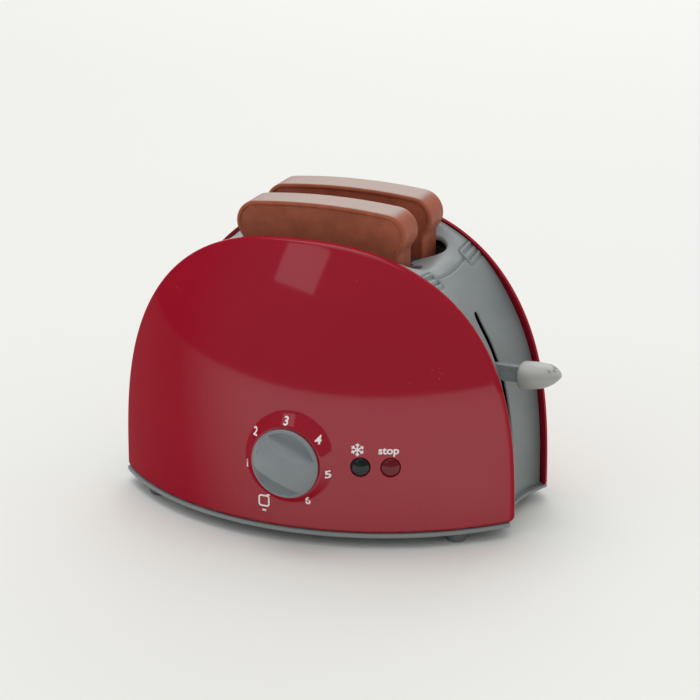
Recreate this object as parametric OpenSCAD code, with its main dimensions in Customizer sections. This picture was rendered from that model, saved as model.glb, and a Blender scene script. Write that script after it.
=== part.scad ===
// Toy toaster: two bowed covers over an arch-shaped housing, with two slices of toast on a
// sprung carriage, a browning knob with clicks, and two push buttons.
// Millimetres, +Z up, the front is -Y and the lever is on +X. Every piece is drawn about the
// middle of the body on the floor, and placed() then puts the origin on the floor under the
// middle of the whole toy, lever and knob included.

/* [Body] */
// Width of the covers' outline at its foot
body_w = 185; // [170:0.5:200]
// Height of the covers' outline
cover_h = 120.2; // [112:0.1:130]
// Power of the half-oval outline across its width
side_power = 2.31; // [2.1:0.01:2.6]
// Power of the half-oval outline over its height
crown_power = 2.765; // [2.4:0.005:3.1]
// Height of the feet
foot_h = 4; // [3:0.1:6]
// Thickness of the base plate
base_t = 2.7; // [2.4:0.1:4]
// How far the base plate stands out past the covers
base_lip = 0.8; // [0.4:0.1:1.5]
// How far the base plate's ends are hollowed between the covers
base_hollow = 3.5; // [1:0.1:5]

/* [Covers] */
// Thickness of the covers, front to back
cover_t = 3; // [2.4:0.1:4]
// Distance from the mid-plane to a cover's corner at the foot
edge_depth = 24; // [22:0.5:28]
// How far a cover bows out past its corners at the foot
face_bow = 42; // [36:0.5:46]
// How far a cover leans back at the top of its outline
crown_lean = 26.3; // [20:0.1:28]
// Power of the lean over the height
lean_power = 3; // [2.4:0.1:3.6]
// Height of the cone-shaped collar round the knob
collar_h = 1.8; // [1:0.1:2.4]
// Shadow gap between the covers and the base plate
cover_gap = 0.3; // [0.2:0.05:0.6]

/* [Housing] */
// Wall of the housing
wall = 2.2; // [1.8:0.1:2.8]
// How far the housing lies inside the covers' outline, at the sides
side_inset = 3.5; // [3:0.1:4.5]
// How far the housing lies inside the covers' outline, at the top
top_inset = 2; // [1.5:0.1:3.5]
// Extra hollow along the middle of the housing, at the sides
side_dish = 5; // [3:0.1:6]
// Extra hollow along the middle of the housing, at the top
top_dish = 1.5; // [0.5:0.1:2.5]
// Width of the flange that the covers seat on, from the covers' outline
flange_in = 11; // [9:0.1:13]
// Height of the flat floor round the slots
floor_z = 113.5; // [110:0.1:116]

/* [Toast slots] */
// Length of a slot
slot_l = 91; // [86:0.5:96]
// Width of a slot
slot_w = 20; // [18.5:0.1:21]
// Distance from the mid-plane to the middle of a slot
slot_y = 15.5; // [14.5:0.1:17]
// Wall of the chutes under the slots
chute_wall = 1.4; // [1.2:0.1:2]
// Height of the chutes
chute_h = 20; // [14:0.5:22]

/* [Toast] */
// Width of a slice at its crown
toast_w = 77.4; // [70:0.1:80]
// Width of a slice below its crown
toast_neck = 71; // [64:0.1:73]
// Height of a slice
toast_h = 76.8; // [70:0.1:80]
// Thickness of a slice
toast_t = 16; // [13:0.1:16.5]
// Radius of the crown's rounded ends
crown_r = 9.6; // [8:0.1:11]
// How far the top edge of a slice is arched
crown_rise = 2.2; // [1:0.1:3]
// Width of the raised crust round the faces
crust_w = 2; // [1.5:0.1:3]
// Depth of the faces inside the crust
crust_depth = 0.9; // [0.5:0.1:1.5]
// Place of the slices along the slots
toast_x = 2; // [0:0.1:2.4]

/* [Lever] */
// Height of the lever's stem above the base plate, toast up
lever_up = 59.3; // [57:0.1:61]
// Thickness of the stem
stem_t = 3.4; // [3:0.1:3.6]
// Height of the stem
stem_h = 7; // [6:0.1:8]
// Width of the lever's slot
lever_slot_w = 4; // [3.8:0.1:4.2]
// Travel of the carriage down to the catch
travel_down = 42; // [36:0.5:42]
// Travel of the carriage up, to lift short slices out
travel_up = 20; // [14:0.5:20]
// Length of the grip
grip_l = 18; // [15:0.5:22]
// Width of the grip
grip_w = 17; // [14:0.5:20]
// Height of the grip at its root
grip_h = 11; // [9:0.5:13]
// How far the grip's tip is past the covers' outline
grip_reach = 12.5; // [10:0.5:16]

/* [Knob] */
// Radius of the knob
knob_r = 15.2; // [13:0.1:17]
// Height of the knob's rim
knob_rim = 1.8; // [1.2:0.1:3]
// Height of the knob's dome over its rim
knob_dome = 7; // [5:0.1:9]
// Place of the knob across the front
knob_x = 5.2; // [3:0.1:8]
// Height of the knob and the buttons
control_z = 36.9; // [34:0.1:40]
// Angle of the knob's pointer at rest, from +X, turning left
pointer_angle = 156; // [100:1:200]
// Radius of the knob's shaft
shaft_r = 3; // [2.5:0.1:3.5]
// Radius of the click wheel
wheel_r = 9; // [8:0.1:10]
// Number of clicks in a full turn
clicks = 36; // [24:1:48]

/* [Buttons] */
// Radius of a button
button_r = 4.1; // [3.5:0.1:4.6]
// Height of a button's dome
button_dome = 1.8; // [1.2:0.1:2.4]
// Travel of a button
button_travel = 2.5; // [2:0.1:2.8]
// Place of the defrost button across the front
defrost_x = 36.4; // [35:0.1:37]
// Place of the stop button across the front
stop_x = 48.4; // [47.5:0.1:50]

/* [Mechanism] */
// Radius of the guide rods
rod_r = 1.5; // [1.2:0.1:2]
// Distance of the guide rods from the middle, along X
rod_x = 54; // [52:0.1:55]
// Distance of the guide rods from the middle, along Y
rod_y = 9; // [8:0.1:10]
// Wire radius of the lift springs
lift_wire = 0.45; // [0.4:0.05:0.5]
// Turns of a lift spring
lift_turns = 8; // [6:1:8]
// Radius of the screws' shanks
screw_r = 1.4; // [1.2:0.1:1.6]

/* [Fits] */
// Gap round a turning shaft
running_gap = 0.06; // [0.03:0.01:0.1]
// Gap between pieces that slide past each other
slide_gap = 0.3; // [0.2:0.05:0.4]
// Gap between pieces that only lie against each other
seat_gap = 0.2; // [0.1:0.05:0.3]

/* [Hidden] */
$fn = 64;
eps = 0.01;
outline_steps = 48;
arch_steps = 36;
face_steps = 14;

base_z = foot_h + base_t;               // top of the base plate
cover_z = base_z + cover_gap;           // foot of the covers
cover_top = cover_z + cover_h;

// The covers' faces are surfaces of revolution about an upright axis behind them.
face_r = (pow(body_w / 2, 2) + pow(face_bow, 2)) / (2 * face_bow);
axis_y = face_r - face_bow - edge_depth;

function lean(z) = crown_lean * pow(max((z - cover_z) / cover_h, 0), lean_power);
function face_y(x, z) = sqrt(pow(face_r - lean(z), 2) - x * x) - axis_y;
function face_turn(x, z) = asin(x / (face_r - lean(z)));

// Half-oval outline: t is 0 at the right foot, 90 at the top and 180 at the left foot.
function signed_power(v, e) = sign(v) * pow(abs(v), e);
function oval_x(t, inset) = (body_w / 2 - inset) * signed_power(cos(t), 2 / side_power);
function oval_z(t, inset) = (cover_h - inset) * pow(max(sin(t), 0), 2 / crown_power);
function oval_tangent(t) = atan2(oval_z(t + 1, 0) - oval_z(t - 1, 0),
                                 oval_x(t + 1, 0) - oval_x(t - 1, 0));
function arc(c, r, a0, a1, n) =
    [for (i = [0:n]) c + r * [cos(a0 + (a1 - a0) * i / n), sin(a0 + (a1 - a0) * i / n)]];
function ease(v) = let (s = min(max(v, 0), 1)) s * s * (3 - 2 * s);

chute_gap = 0.4;                        // how far the chutes are wider than the slots, all round
chute_room = 0.9;                       // between the chutes and the housing's curved skin
guide_l = 72;                           // length of the chutes' flange
post_low = floor_z - 8;                 // foot of the housing's posts for the guide's screws
post_r = 3;
web_t = 2.4;                            // the guide's web, screwed to those posts
web_low = post_low - seat_gap - web_t;

// Carriage and toast
seat_z = 62;                            // where the slices stand, toast up
plate_t = 2.4;
trough_h = 6;
stem_z = base_z + lever_up;
toast_top = seat_z + seat_gap + toast_h;
stem_root_x = 41;
grip_tip_x = body_w / 2 + grip_reach;
grip_root_x = grip_tip_x - grip_l;

// Lever slot in the housing's side
lever_low = stem_z - stem_h / 2 - travel_down - 2;
lever_high = stem_z + stem_h / 2 + travel_up + 2;

// Guide rods and lift springs
boss_top = base_z + 2.3;
sleeve_r = rod_r + 2.5;
sleeve_h = 6.4;
lug_z = seat_z + travel_up + trough_h + 3;
lug_h = 4.5;
lift_coil_r = rod_r + 2.1;
lift_low = boss_top + seat_gap;
lift_high = seat_z - plate_t - seat_gap;

// Controls
bracket_y = 43.5;                       // back of the bracket's plate
bracket_t = 2;
bracket_left = -16;
bracket_right = 51;
bracket_top = 50;
knob_face = face_y(knob_x, control_z);
knob_back = knob_face + collar_h + slide_gap;
collar_r = knob_r + 1;
collar_slope = 1.7;
wheel_y = 50.5;
wheel_t = 2.5;
clip_t = 0.8;
clip_groove = 0.65;
cup_depth = 8;                          // sockets of the buttons, behind the face
cup_l = 12;
flange_depth = cover_t + 0.2;           // the button's flange, behind the cover
cup_bottom = cup_depth + 2.5;
button_stem_r = 1.6;

// How far the middle of the whole toy lies from the middle of the body
middle_x = grip_reach / 2;
middle_y = (face_r + base_lip - axis_y - knob_back - knob_rim - knob_dome) / 2;

// Catch
pin_y = 38;
pin_z = 29.6;
pin_r = 1.5;
catch_x = 39.5;
catch_w = 6;
hook_w = 3;                             // width of the covers' snap hooks
tab_low = seat_z - plate_t - travel_down;
tab_high = seat_z - travel_down;
tab_y = 30.5;

// Fasteners
core_screw = [body_w / 2 - 12.5, 12];
cover_screw = [body_w / 2 - 34.5, 42];
bracket_screw = [[-10, 39.5], [28, 39.5]];
guide_screw_x = 22;
screw_l = 7;
head_r = 2.7;
head_h = 1.3;
foot_at = [body_w / 2 - 21.5, 35];
foot_r = 4.6;

// ---- Covers ----

// Solid bounded by the bowed, leaning face
module bowed_body() {
    low = cover_z - 4;
    high = cover_top + 3;
    profile = [for (i = [0:face_steps]) let (z = low + (high - low) * i / face_steps)
               [face_r - lean(z), z]];
    rotate_extrude($fn = 128) polygon(concat([[0, low]], profile, [[0, high]]));
}

// Half-oval prism along Y, a given distance inside the covers' outline
module oval_prism(inset, y0, y1) {
    points = [for (i = [0:outline_steps]) let (t = 180 * i / outline_steps)
              [oval_x(t, inset), cover_z + oval_z(t, inset)]];
    translate([0, y1, 0]) rotate([90, 0, 0]) linear_extrude(y1 - y0) polygon(points);
}

// One snap hook behind a cover, at outline angle t, reaching behind the housing's flange
module cover_hook(t) {
    inset = flange_in + 0.6;
    x = oval_x(t, inset);
    z = cover_z + oval_z(t, inset);
    reach = wall + seat_gap + 0.5 * hook_w;
    y = face_y(x, z) - cover_t;
    translate([x, -y, z]) rotate([0, -oval_tangent(t), 0]) {
        translate([-hook_w / 2, -1, 0]) cube([hook_w, reach + 2.2, 1.6]);
        translate([-hook_w / 2, reach, -1.4]) cube([hook_w, 1.2, 3]);
    }
}

// Lug at the foot of a cover, for a screw through the base plate
module cover_lug(side) {
    difference() {
        intersection() {
            translate([side * cover_screw[0] - 5, -60, cover_z]) cube([10, 60 - 37, 5]);
            translate([0, axis_y + 1, 0]) bowed_body();
        }
        translate([side * cover_screw[0], -cover_screw[1], 0]) cylinder(h = 20, r = screw_r - 0.2);
    }
}

module cover_shell() {
    intersection() {
        difference() {
            translate([0, axis_y, 0]) bowed_body();
            translate([0, axis_y + cover_t, 0]) bowed_body();
        }
        oval_prism(0, -body_w / 2, -edge_depth / 2);
    }
    for (t = [28, 62, 90, 118, 152]) cover_hook(t);
    for (side = [-1, 1]) cover_lug(side);
}

// Frame on the front face at (x, control_z): -Y out of the face, square to it
module on_face(x) {
    translate([x, -face_y(x, control_z), control_z]) rotate([0, 0, face_turn(x, control_z)]) children();
}

module front_cover() {
    color([0.62, 0.05, 0.12])
    difference() {
        union() {
            cover_shell();
            // collar round the knob
            translate([knob_x, -knob_face + 3.2, control_z]) rotate([90, 0, 0])
                cylinder(h = collar_h + 3.2, r1 = collar_r + collar_slope * (collar_h + 3.2), r2 = collar_r);
        }
        translate([knob_x, -80, control_z]) rotate([-90, 0, 0]) cylinder(h = 40, r = shaft_r + 0.4);
        for (x = [defrost_x, stop_x])
            on_face(x) rotate([90, 0, 0]) translate([0, 0, -8]) cylinder(h = 16, r = button_r + slide_gap);
    }
}

module rear_cover() {
    color([0.62, 0.05, 0.12]) rotate([0, 0, 180]) cover_shell();
}

// ---- Housing ----

// Share of the way from the housing's top to its sides at outline angle t
function sideness(t) = ease((60 - min(t, 180 - t)) / 24);
function arch_inset(t, v) =
    let (s = sideness(t))
    top_inset + (side_inset - top_inset) * s + (top_dish + (side_dish - top_dish) * s) * (1 - v * v);

// Section of the housing between the covers: [share of the half depth, depth inside the skin,
// 1 for the flat floor's zone, shrink along Y]
skin_v = [1, 0.86, 0.8, 0.74, 0.45, 0];
skin_sweep = concat([for (v = skin_v) v], [for (i = [len(skin_v) - 2:-1:0]) -skin_v[i]]);
arch_section = concat(
    [for (v = skin_sweep) [-v, 0, abs(v) < 0.78 ? 1 : 0, 0]],
    [[1, flange_in, 0, 0], [1, flange_in, 0, wall]],
    [for (v = skin_sweep) [v, wall, abs(v) < 0.84 ? 1 : 0, wall]],
    [[-1, flange_in, 0, wall], [-1, flange_in, 0, 0]]);

function arch_point(t, s) =
    let (flange = s[1] == flange_in,
         inset = flange ? flange_in : arch_inset(t, s[0]) + s[1],
         x = oval_x(t, inset),
         z0 = cover_z + oval_z(t, inset),
         z1 = s[2] == 1 ? min(z0, floor_z - s[1]) : z0,
         z = z1 <= cover_z + eps ? base_z : z1,
         y = s[0] * (face_y(x, z0) - cover_t - seat_gap - s[3]))
    [x, y, z];

module arch_shell() {
    n = len(arch_section);
    points = [for (i = [0:arch_steps]) for (s = arch_section) arch_point(180 * i / arch_steps, s)];
    sides = [for (i = [0:arch_steps - 1]) for (k = [0:n - 1])
             let (a = i * n + k, b = i * n + (k + 1) % n, c = a + n, d = b + n)
             each [[a, d, b], [a, c, d]]];
    // the two feet are closed between the outer and the inner skin
    m = len(skin_sweep);
    foot = concat([for (k = [0:m - 2]) [k, k + 1, 2 * m - k, 2 * m + 1 - k]],
                  [[m - 1, m, m + 1, m + 2], [2 * m + 1, 2 * m + 2, 2 * m + 3, 0]]);
    left_foot = [for (f = foot) [for (j = [3:-1:0]) f[j] + arch_steps * n]];
    polyhedron(points, concat(sides, foot, left_foot), convexity = 8);
}

// Stadium-shaped prism for a slot, grown by a gap
module slot_prism(y, grow, z0, z1) {
    r = slot_w / 2 + grow;
    c = slot_l / 2 - slot_w / 2;
    translate([0, y, z0]) {
        translate([-c, -r, 0]) cube([2 * c, 2 * r, z1 - z0]);
        for (side = [-1, 1]) translate([side * c, 0, 0]) cylinder(h = z1 - z0, r = r);
    }
}

// Moulded hinge relief at the edge of the top, at outline angle t
module hinge_relief(t, side) {
    inset = arch_inset(t, 0.7);
    x = oval_x(t, inset);
    z = cover_z + oval_z(t, inset);
    y = face_y(x, z) - cover_t - 7.5;
    translate([x, side * y, z]) rotate([0, -oval_tangent(t), 0]) translate([0, 0, 0.2]) {
        difference() {
            cube([6.4, 11, 2.6], center = true);
            translate([0, 0, 1.3]) cube([4.6, 9.2, 1.4], center = true);
        }
        translate([0, -4.5, 0.3]) rotate([-90, 0, 0]) cylinder(h = 9, r = 1.1, $fn = 24);
    }
}

module core_arch() {
    color([0.52, 0.56, 0.57]) {
        difference() {
            arch_shell();
            for (side = [-1, 1]) slot_prism(side * slot_y, 0, floor_z - 20, floor_z + 12);
            // the lever's slot
            translate([rod_x, -lever_slot_w / 2, lever_low])
                cube([body_w / 2, lever_slot_w, lever_high - lever_low]);
        }
        for (a = [-1, 1]) for (b = [-1, 1]) difference() {
            translate([a * core_screw[0], b * core_screw[1], base_z]) cylinder(h = 14, r = 4);
            translate([a * core_screw[0], b * core_screw[1], 0]) cylinder(h = 18, r = screw_r - 0.2);
        }
        for (a = [-1, 1]) difference() {
            translate([a * guide_screw_x, 0, post_low]) cylinder(h = floor_z - 1 - post_low, r = post_r);
            translate([a * guide_screw_x, 0, post_low - 1]) cylinder(h = 6, r = screw_r - 0.2);
        }
        for (t = [57, 123]) for (side = [-1, 1]) hinge_relief(t, side);
    }
}

// ---- Base ----

module base_outline_prism(z0, z1) {
    hollow_r = (pow(edge_depth, 2) + pow(base_hollow, 2)) / (2 * base_hollow);
    difference() {
        intersection() {
            r_out = face_r + base_lip;
            translate([0, axis_y, z0]) cylinder(h = z1 - z0, r = r_out, $fn = 128);
            translate([0, -axis_y, z0]) cylinder(h = z1 - z0, r = r_out, $fn = 128);
            translate([-body_w / 2, -face_r, z0]) cube([body_w, 2 * face_r, z1 - z0]);
        }
        for (side = [-1, 1])
            translate([side * (body_w / 2 - base_hollow + hollow_r), 0, z0 - 1])
                cylinder(h = z1 - z0 + 2, r = hollow_r, $fn = 128);
    }
}

// Every place where a screw comes up through the base plate
screw_places = concat(
    [for (a = [-1, 1]) for (b = [-1, 1]) [a * core_screw[0], b * core_screw[1]]],
    [for (a = [-1, 1]) for (b = [-1, 1]) [a * cover_screw[0], b * cover_screw[1]]],
    [for (p = bracket_screw) [p[0], -p[1]]]);

module base_plate() {
    color([0.5, 0.54, 0.55])
    difference() {
        union() {
            base_outline_prism(foot_h, base_z);
            // bosses of the guide rods
            for (side = [-1, 1]) translate([side * rod_x, side * rod_y, foot_h])
                cylinder(h = boss_top - foot_h, r = sleeve_r);
            // ribs that locate the housing's ends
            for (side = [-1, 1])
                translate([side * (body_w / 2 - side_inset - side_dish - wall - 1.3) - 0.8, -7, foot_h + 1])
                    cube([1.6, 14, base_t + 3]);
            // stiffening ribs
            for (y = [-24, 24]) translate([-40, y - 0.8, foot_h + 1]) cube([80, 1.6, base_t + 1.5]);
        }
        for (side = [-1, 1]) translate([side * rod_x, side * rod_y, foot_h + 1])
            cylinder(h = 20, r = rod_r);
        for (p = screw_places) {
            translate([p[0], p[1], 0]) cylinder(h = 20, r = screw_r + 0.2);
            translate([p[0], p[1], 0]) cylinder(h = foot_h + head_h + 0.1, r = head_r + 0.3);
        }
        for (a = [-1, 1]) for (b = [-1, 1])
            translate([a * foot_at[0], b * foot_at[1], 0]) cylinder(h = 20, r = 2);
    }
}

module feet() {
    color([0.42, 0.46, 0.47])
    for (a = [-1, 1]) for (b = [-1, 1]) translate([a * foot_at[0], b * foot_at[1], 0]) {
        cylinder(h = foot_h - 1, r1 = foot_r - 0.5, r2 = foot_r);
        translate([0, 0, foot_h - 1]) cylinder(h = 1, r = foot_r);
        translate([0, 0, foot_h]) cylinder(h = base_t, r = 2);
    }
}

// ---- Toast guide, rods, springs ----

module toast_guide() {
    flange_z = floor_z - wall - seat_gap;
    low = flange_z - chute_h;
    color([0.2, 0.21, 0.22])
    difference() {
        union() {
            // chutes and their flange, trimmed to lie under the housing's skin
            intersection() {
                union() {
                    for (side = [-1, 1])
                        slot_prism(side * slot_y, chute_gap + chute_wall, low, flange_z);
                    translate([-guide_l / 2, -slot_y - slot_w / 2 - 3.5, flange_z - 2])
                        cube([guide_l, 2 * slot_y + slot_w + 7, 2]);
                }
                oval_prism(top_inset + top_dish + wall + chute_room, -slot_l, slot_l);
            }
            // web between the chutes, screwed to the housing
            translate([1 - guide_l / 2, -4, web_low]) cube([guide_l - 2, 8, web_t]);
            // lugs for the rods' upper ends
            for (side = [-1, 1]) translate([side * rod_x, side * rod_y, lug_z])
                cylinder(h = lug_h, r = sleeve_r);
            for (side = [-1, 1]) translate([side * (slot_l / 2 + 3.2) - 4, side * rod_y - 2.5, lug_z])
                cube([8, 5, lug_h]);
        }
        for (side = [-1, 1]) slot_prism(side * slot_y, chute_gap, low - 1, flange_z + 1);
        for (side = [-1, 1]) translate([side * rod_x, side * rod_y, lug_z - 1])
            cylinder(h = lug_h - 0.5, r = rod_r);
        for (side = [-1, 1]) translate([side * guide_screw_x, 0, 0]) {
            translate([0, 0, web_low - 1]) cylinder(h = web_t + 2, r = screw_r + 0.2);
            // room for the housing's screw posts
            translate([0, 0, post_low - seat_gap]) cylinder(h = 12, r = post_r + slide_gap);
        }
    }
}

module guide_rods() {
    color([0.72, 0.73, 0.74])
    for (side = [-1, 1]) translate([side * rod_x, side * rod_y, foot_h + 1])
        cylinder(h = lug_z + lug_h - 1.5 - foot_h - 1, r = rod_r);
}

// Points of a ring of n points round the wire, at helix angle a and height z
function coil_ring(a, z, coil_r, wire_r, n) =
    [for (k = [0:n - 1]) let (b = 360 * k / n)
     [(coil_r + wire_r * cos(b)) * cos(a), (coil_r + wire_r * cos(b)) * sin(a), z + wire_r * sin(b)]];

// Compression spring along Z with one flat turn at each end
module coil_spring(coil_r, wire_r, turns, height, steps = 12, sides = 6) {
    total = turns * steps;
    rise = height - 2 * wire_r;
    // the first and the last turn close up to twice the wire's pitch
    closed = 2.3 * wire_r;
    function level(i) = let (u = i / steps)
        u < 1 ? closed * u
        : u > turns - 1 ? rise - closed * (turns - u)
        : closed + (rise - 2 * closed) * (u - 1) / (turns - 2);
    points = [for (i = [0:total]) each coil_ring(360 * i / steps, wire_r + level(i), coil_r, wire_r, sides)];
    skin = [for (i = [0:total - 1]) for (k = [0:sides - 1])
            let (a = i * sides + k, b = i * sides + (k + 1) % sides)
            each [[a, b + sides, b], [a, a + sides, b + sides]]];
    polyhedron(points, concat(skin, [[for (k = [0:sides - 1]) k]],
                              [[for (k = [sides - 1:-1:0]) total * sides + k]]), convexity = 10);
}

module lift_springs() {
    color([0.7, 0.71, 0.72])
    for (side = [-1, 1]) translate([side * rod_x, side * rod_y, lift_low])
        coil_spring(lift_coil_r, lift_wire, lift_turns, lift_high - lift_low);
}

// ---- Carriage and lever ----

module carriage() {
    half_l = 44;
    half_w = slot_y + toast_t / 2 + 2.2;
    color([0.3, 0.31, 0.32])
    difference() {
        union() {
            translate([-half_l, -half_w, seat_z - plate_t]) cube([2 * half_l, 2 * half_w, plate_t]);
            // troughs that keep the slices upright
            for (side = [-1, 1]) for (face = [-1, 1])
                translate([-32, side * slot_y + face * (toast_t / 2 + 1.3) - 0.7, seat_z - 1])
                    cube([64, 1.4, trough_h + 1]);
            // arms and sleeves on the guide rods
            for (side = [-1, 1]) {
                translate([side * rod_x, side * rod_y, seat_z - plate_t])
                    cylinder(h = sleeve_h, r = sleeve_r);
                translate([side * (half_l + 4) - 6, side * rod_y - 2.5, seat_z - plate_t])
                    cube([12, 5, plate_t + 2]);
            }
            // cheeks that hold the lever's stem
            for (face = [-1, 1])
                translate([stem_root_x - 2, face * (stem_t / 2 + 1.2) - 1.1, seat_z - 1])
                    cube([half_l - stem_root_x + 2, 2.2, stem_z + stem_h / 2 - seat_z + 1]);
            // tab for the catch
            translate([catch_x + 0.5, -tab_y, seat_z - plate_t])
                cube([catch_w - 1.5, tab_y - half_w + 1, plate_t]);
        }
        for (side = [-1, 1]) translate([side * rod_x, side * rod_y, 0])
            cylinder(h = 200, r = rod_r + running_gap);
        // windows that lighten the plate under the slices
        for (side = [-1, 1]) for (x = [-24, 0, 24])
            translate([x - 8, side * slot_y - 5, seat_z - plate_t - 1]) cube([16, 10, plate_t + 2]);
        translate([stem_root_x + 1, 0, stem_z]) rotate([90, 0, 0]) cylinder(h = 20, r = 1.2, center = true);
    }
}

module lever_stem() {
    color([0.5, 0.54, 0.55])
    difference() {
        translate([stem_root_x - 1.5, -stem_t / 2, stem_z - stem_h / 2])
            cube([grip_root_x + 8 - stem_root_x + 1.5, stem_t, stem_h]);
        translate([stem_root_x + 1, 0, stem_z]) rotate([90, 0, 0]) cylinder(h = 20, r = 1.2, center = true);
    }
}

module lever_screw() {
    color([0.7, 0.71, 0.72])
    translate([stem_root_x + 1, 0, stem_z]) rotate([90, 0, 0]) {
        translate([0, 0, -4]) cylinder(h = 8, r = 1.2);
        translate([0, 0, 4]) cylinder(h = 1.2, r = 2.2);
    }
}

// Finger grip: broad rounded root, thinner toward the rounded tip
module lever_grip() {
    tip_z = stem_z + 2.2;
    top_z = stem_z + grip_h / 2;
    low_z = stem_z - grip_h / 2;
    color([0.66, 0.67, 0.66])
    difference() {
        intersection() {
            hull() {
                translate([grip_root_x, 0, top_z - 3.4]) scale([grip_l, grip_w / 2, 3.4]) sphere(1, $fn = 32);
                translate([grip_root_x, 0, low_z + 2.5]) scale([grip_l * 0.62, grip_w / 2 - 0.6, 2.5])
                    sphere(1, $fn = 32);
                translate([grip_tip_x - 6, 0, tip_z - 0.4]) scale([6, 5, 2.1]) sphere(1, $fn = 32);
            }
            translate([grip_root_x, -grip_w, low_z - 5]) cube([grip_l + 5, 2 * grip_w, grip_h + 10]);
        }
        // socket of the stem
        translate([grip_root_x - 1, -stem_t / 2 - 0.05, stem_z - stem_h / 2 - 0.05])
            cube([9.2, stem_t + 0.1, stem_h + 0.1]);
    }
}

// ---- Toast ----

// Outline of a slice in X and Z, drawn in by a margin: a broad crown over a narrower body
function toast_outline(inset) =
    let (top = toast_h - inset,
         half = toast_w / 2 - inset,
         neck = toast_neck / 2 - inset,
         r = crown_r - inset,
         centre = [half - r, toast_h - crown_rise - crown_r],
         // a neck as wide as the crown meets it at its widest place
         low = acos(min((neck - centre[0]) / r, 1)),
         side = concat([[neck, inset + 4]], [[neck, centre[1] - r * sin(low)]],
                       arc(centre, r, -low + 6, 78, 10)),
         crest = [for (i = [1:5]) let (x = (centre[0] + r * cos(78)) * (1 - i / 5))
                  [x, top - (top - centre[1] - r * sin(78)) * pow(x / (centre[0] + r * cos(78)), 2)]],
         foot = arc([neck - 4, inset + 4], 4, -90, 0, 5),
         right = concat([for (i = [0:4]) foot[i]], side, crest))
    concat(right, [for (i = [len(right) - 2:-1:0]) [-right[i][0], right[i][1]]]);

module toast(y) {
    color([0.45, 0.2, 0.12])
    translate([toast_x, y, seat_z + seat_gap]) rotate([90, 0, 0])
    difference() {
        linear_extrude(toast_t, center = true) polygon(toast_outline(0));
        for (side = [-1, 1]) translate([0, 0, side * (toast_t / 2)])
            linear_extrude(2 * crust_depth, center = true) polygon(toast_outline(crust_w));
    }
}

module toast_front() toast(-slot_y);

module toast_rear() toast(slot_y);

// ---- Browning knob ----

// Frame of the knob: Z out of the front, X along the pointer
module on_knob() {
    translate([knob_x, -knob_back, control_z]) rotate([90, 0, 0]) rotate([0, 0, pointer_angle]) children();
}

module knob() {
    sphere_r = (pow(knob_r - 0.5, 2) + pow(knob_dome, 2)) / (2 * knob_dome);
    scoop_r = 32;
    bar = 5.7;
    color([0.5, 0.54, 0.55])
    on_knob() difference() {
        intersection() {
            union() {
                cylinder(h = knob_rim - 0.5, r = knob_r);
                translate([0, 0, knob_rim - 0.5]) cylinder(h = 0.5, r1 = knob_r, r2 = knob_r - 0.5);
                intersection() {
                    translate([0, 0, knob_rim + knob_dome - sphere_r]) sphere(sphere_r, $fn = 96);
                    cylinder(h = knob_rim + knob_dome, r = knob_r - 0.5);
                }
            }
            cylinder(h = knob_rim + knob_dome + 1, r = knob_r);
        }
        // finger scoops on both sides of the grip bar
        for (side = [-1, 1]) translate([0, side * (bar + scoop_r), knob_rim + 0.8])
            cylinder(h = knob_dome, r1 = scoop_r - 1.2, r2 = scoop_r, $fn = 128);
        // socket of the shaft
        translate([0, 0, -1]) cylinder(h = 6, r = shaft_r);
        // pointer mark
        translate([11.6, 0, knob_rim + 2.2]) cylinder(h = 4, r = 0.9, $fn = 24);
    }
}

module knob_shaft() {
    groove_y = bracket_y - slide_gap - clip_t - 0.1;
    color([0.78, 0.78, 0.76])
    translate([knob_x, 0, control_z]) {
        difference() {
            translate([0, -knob_back - 5, 0]) rotate([-90, 0, 0])
                cylinder(h = knob_back + 5 - groove_y + 2, r = shaft_r);
            // groove of the clip
            translate([0, -groove_y - clip_t - 0.2, 0]) rotate([-90, 0, 0]) difference() {
                cylinder(h = clip_t + 0.2, r = shaft_r + 1);
                translate([0, 0, -1]) cylinder(h = clip_t + 3, r = shaft_r - clip_groove);
            }
        }
        // click wheel
        translate([0, -wheel_y, 0]) rotate([90, 0, 0]) difference() {
            cylinder(h = wheel_t, r = wheel_r);
            for (i = [0:clicks - 1]) rotate([0, 0, 360 * i / clicks + pointer_angle])
                translate([wheel_r + 0.2, 0, -1]) cylinder(h = wheel_t + 2, r = 0.55, $fn = 16);
        }
    }
}

module knob_clip() {
    color([0.25, 0.25, 0.26])
    translate([knob_x, -bracket_y + slide_gap + 0.1, control_z]) rotate([-90, 0, 0]) difference() {
        cylinder(h = clip_t, r = shaft_r + 2.2);
        translate([0, 0, -1]) cylinder(h = clip_t + 2, r = shaft_r - clip_groove + 0.05);
        translate([0, -1.6, -1]) cube([8, 3.2, clip_t + 2]);
    }
}

// Leaf that clicks over the wheel's notches
module click_spring() {
    leaf_x = knob_x - wheel_r - slide_gap;
    color([0.75, 0.76, 0.77])
    translate([0, -wheel_y, 0]) rotate([90, 0, 0]) linear_extrude(wheel_t) polygon([
        [leaf_x - 1.1, control_z - 14], [leaf_x - 0.5, control_z - 14], [leaf_x - 0.5, control_z - 2.5],
        [leaf_x, control_z], [leaf_x - 0.5, control_z + 2.5], [leaf_x - 0.5, control_z + 9],
        [leaf_x - 1.1, control_z + 9], [leaf_x - 1.1, control_z + 2.6], [leaf_x - 0.6, control_z],
        [leaf_x - 1.1, control_z - 2.6]]);
}

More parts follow.
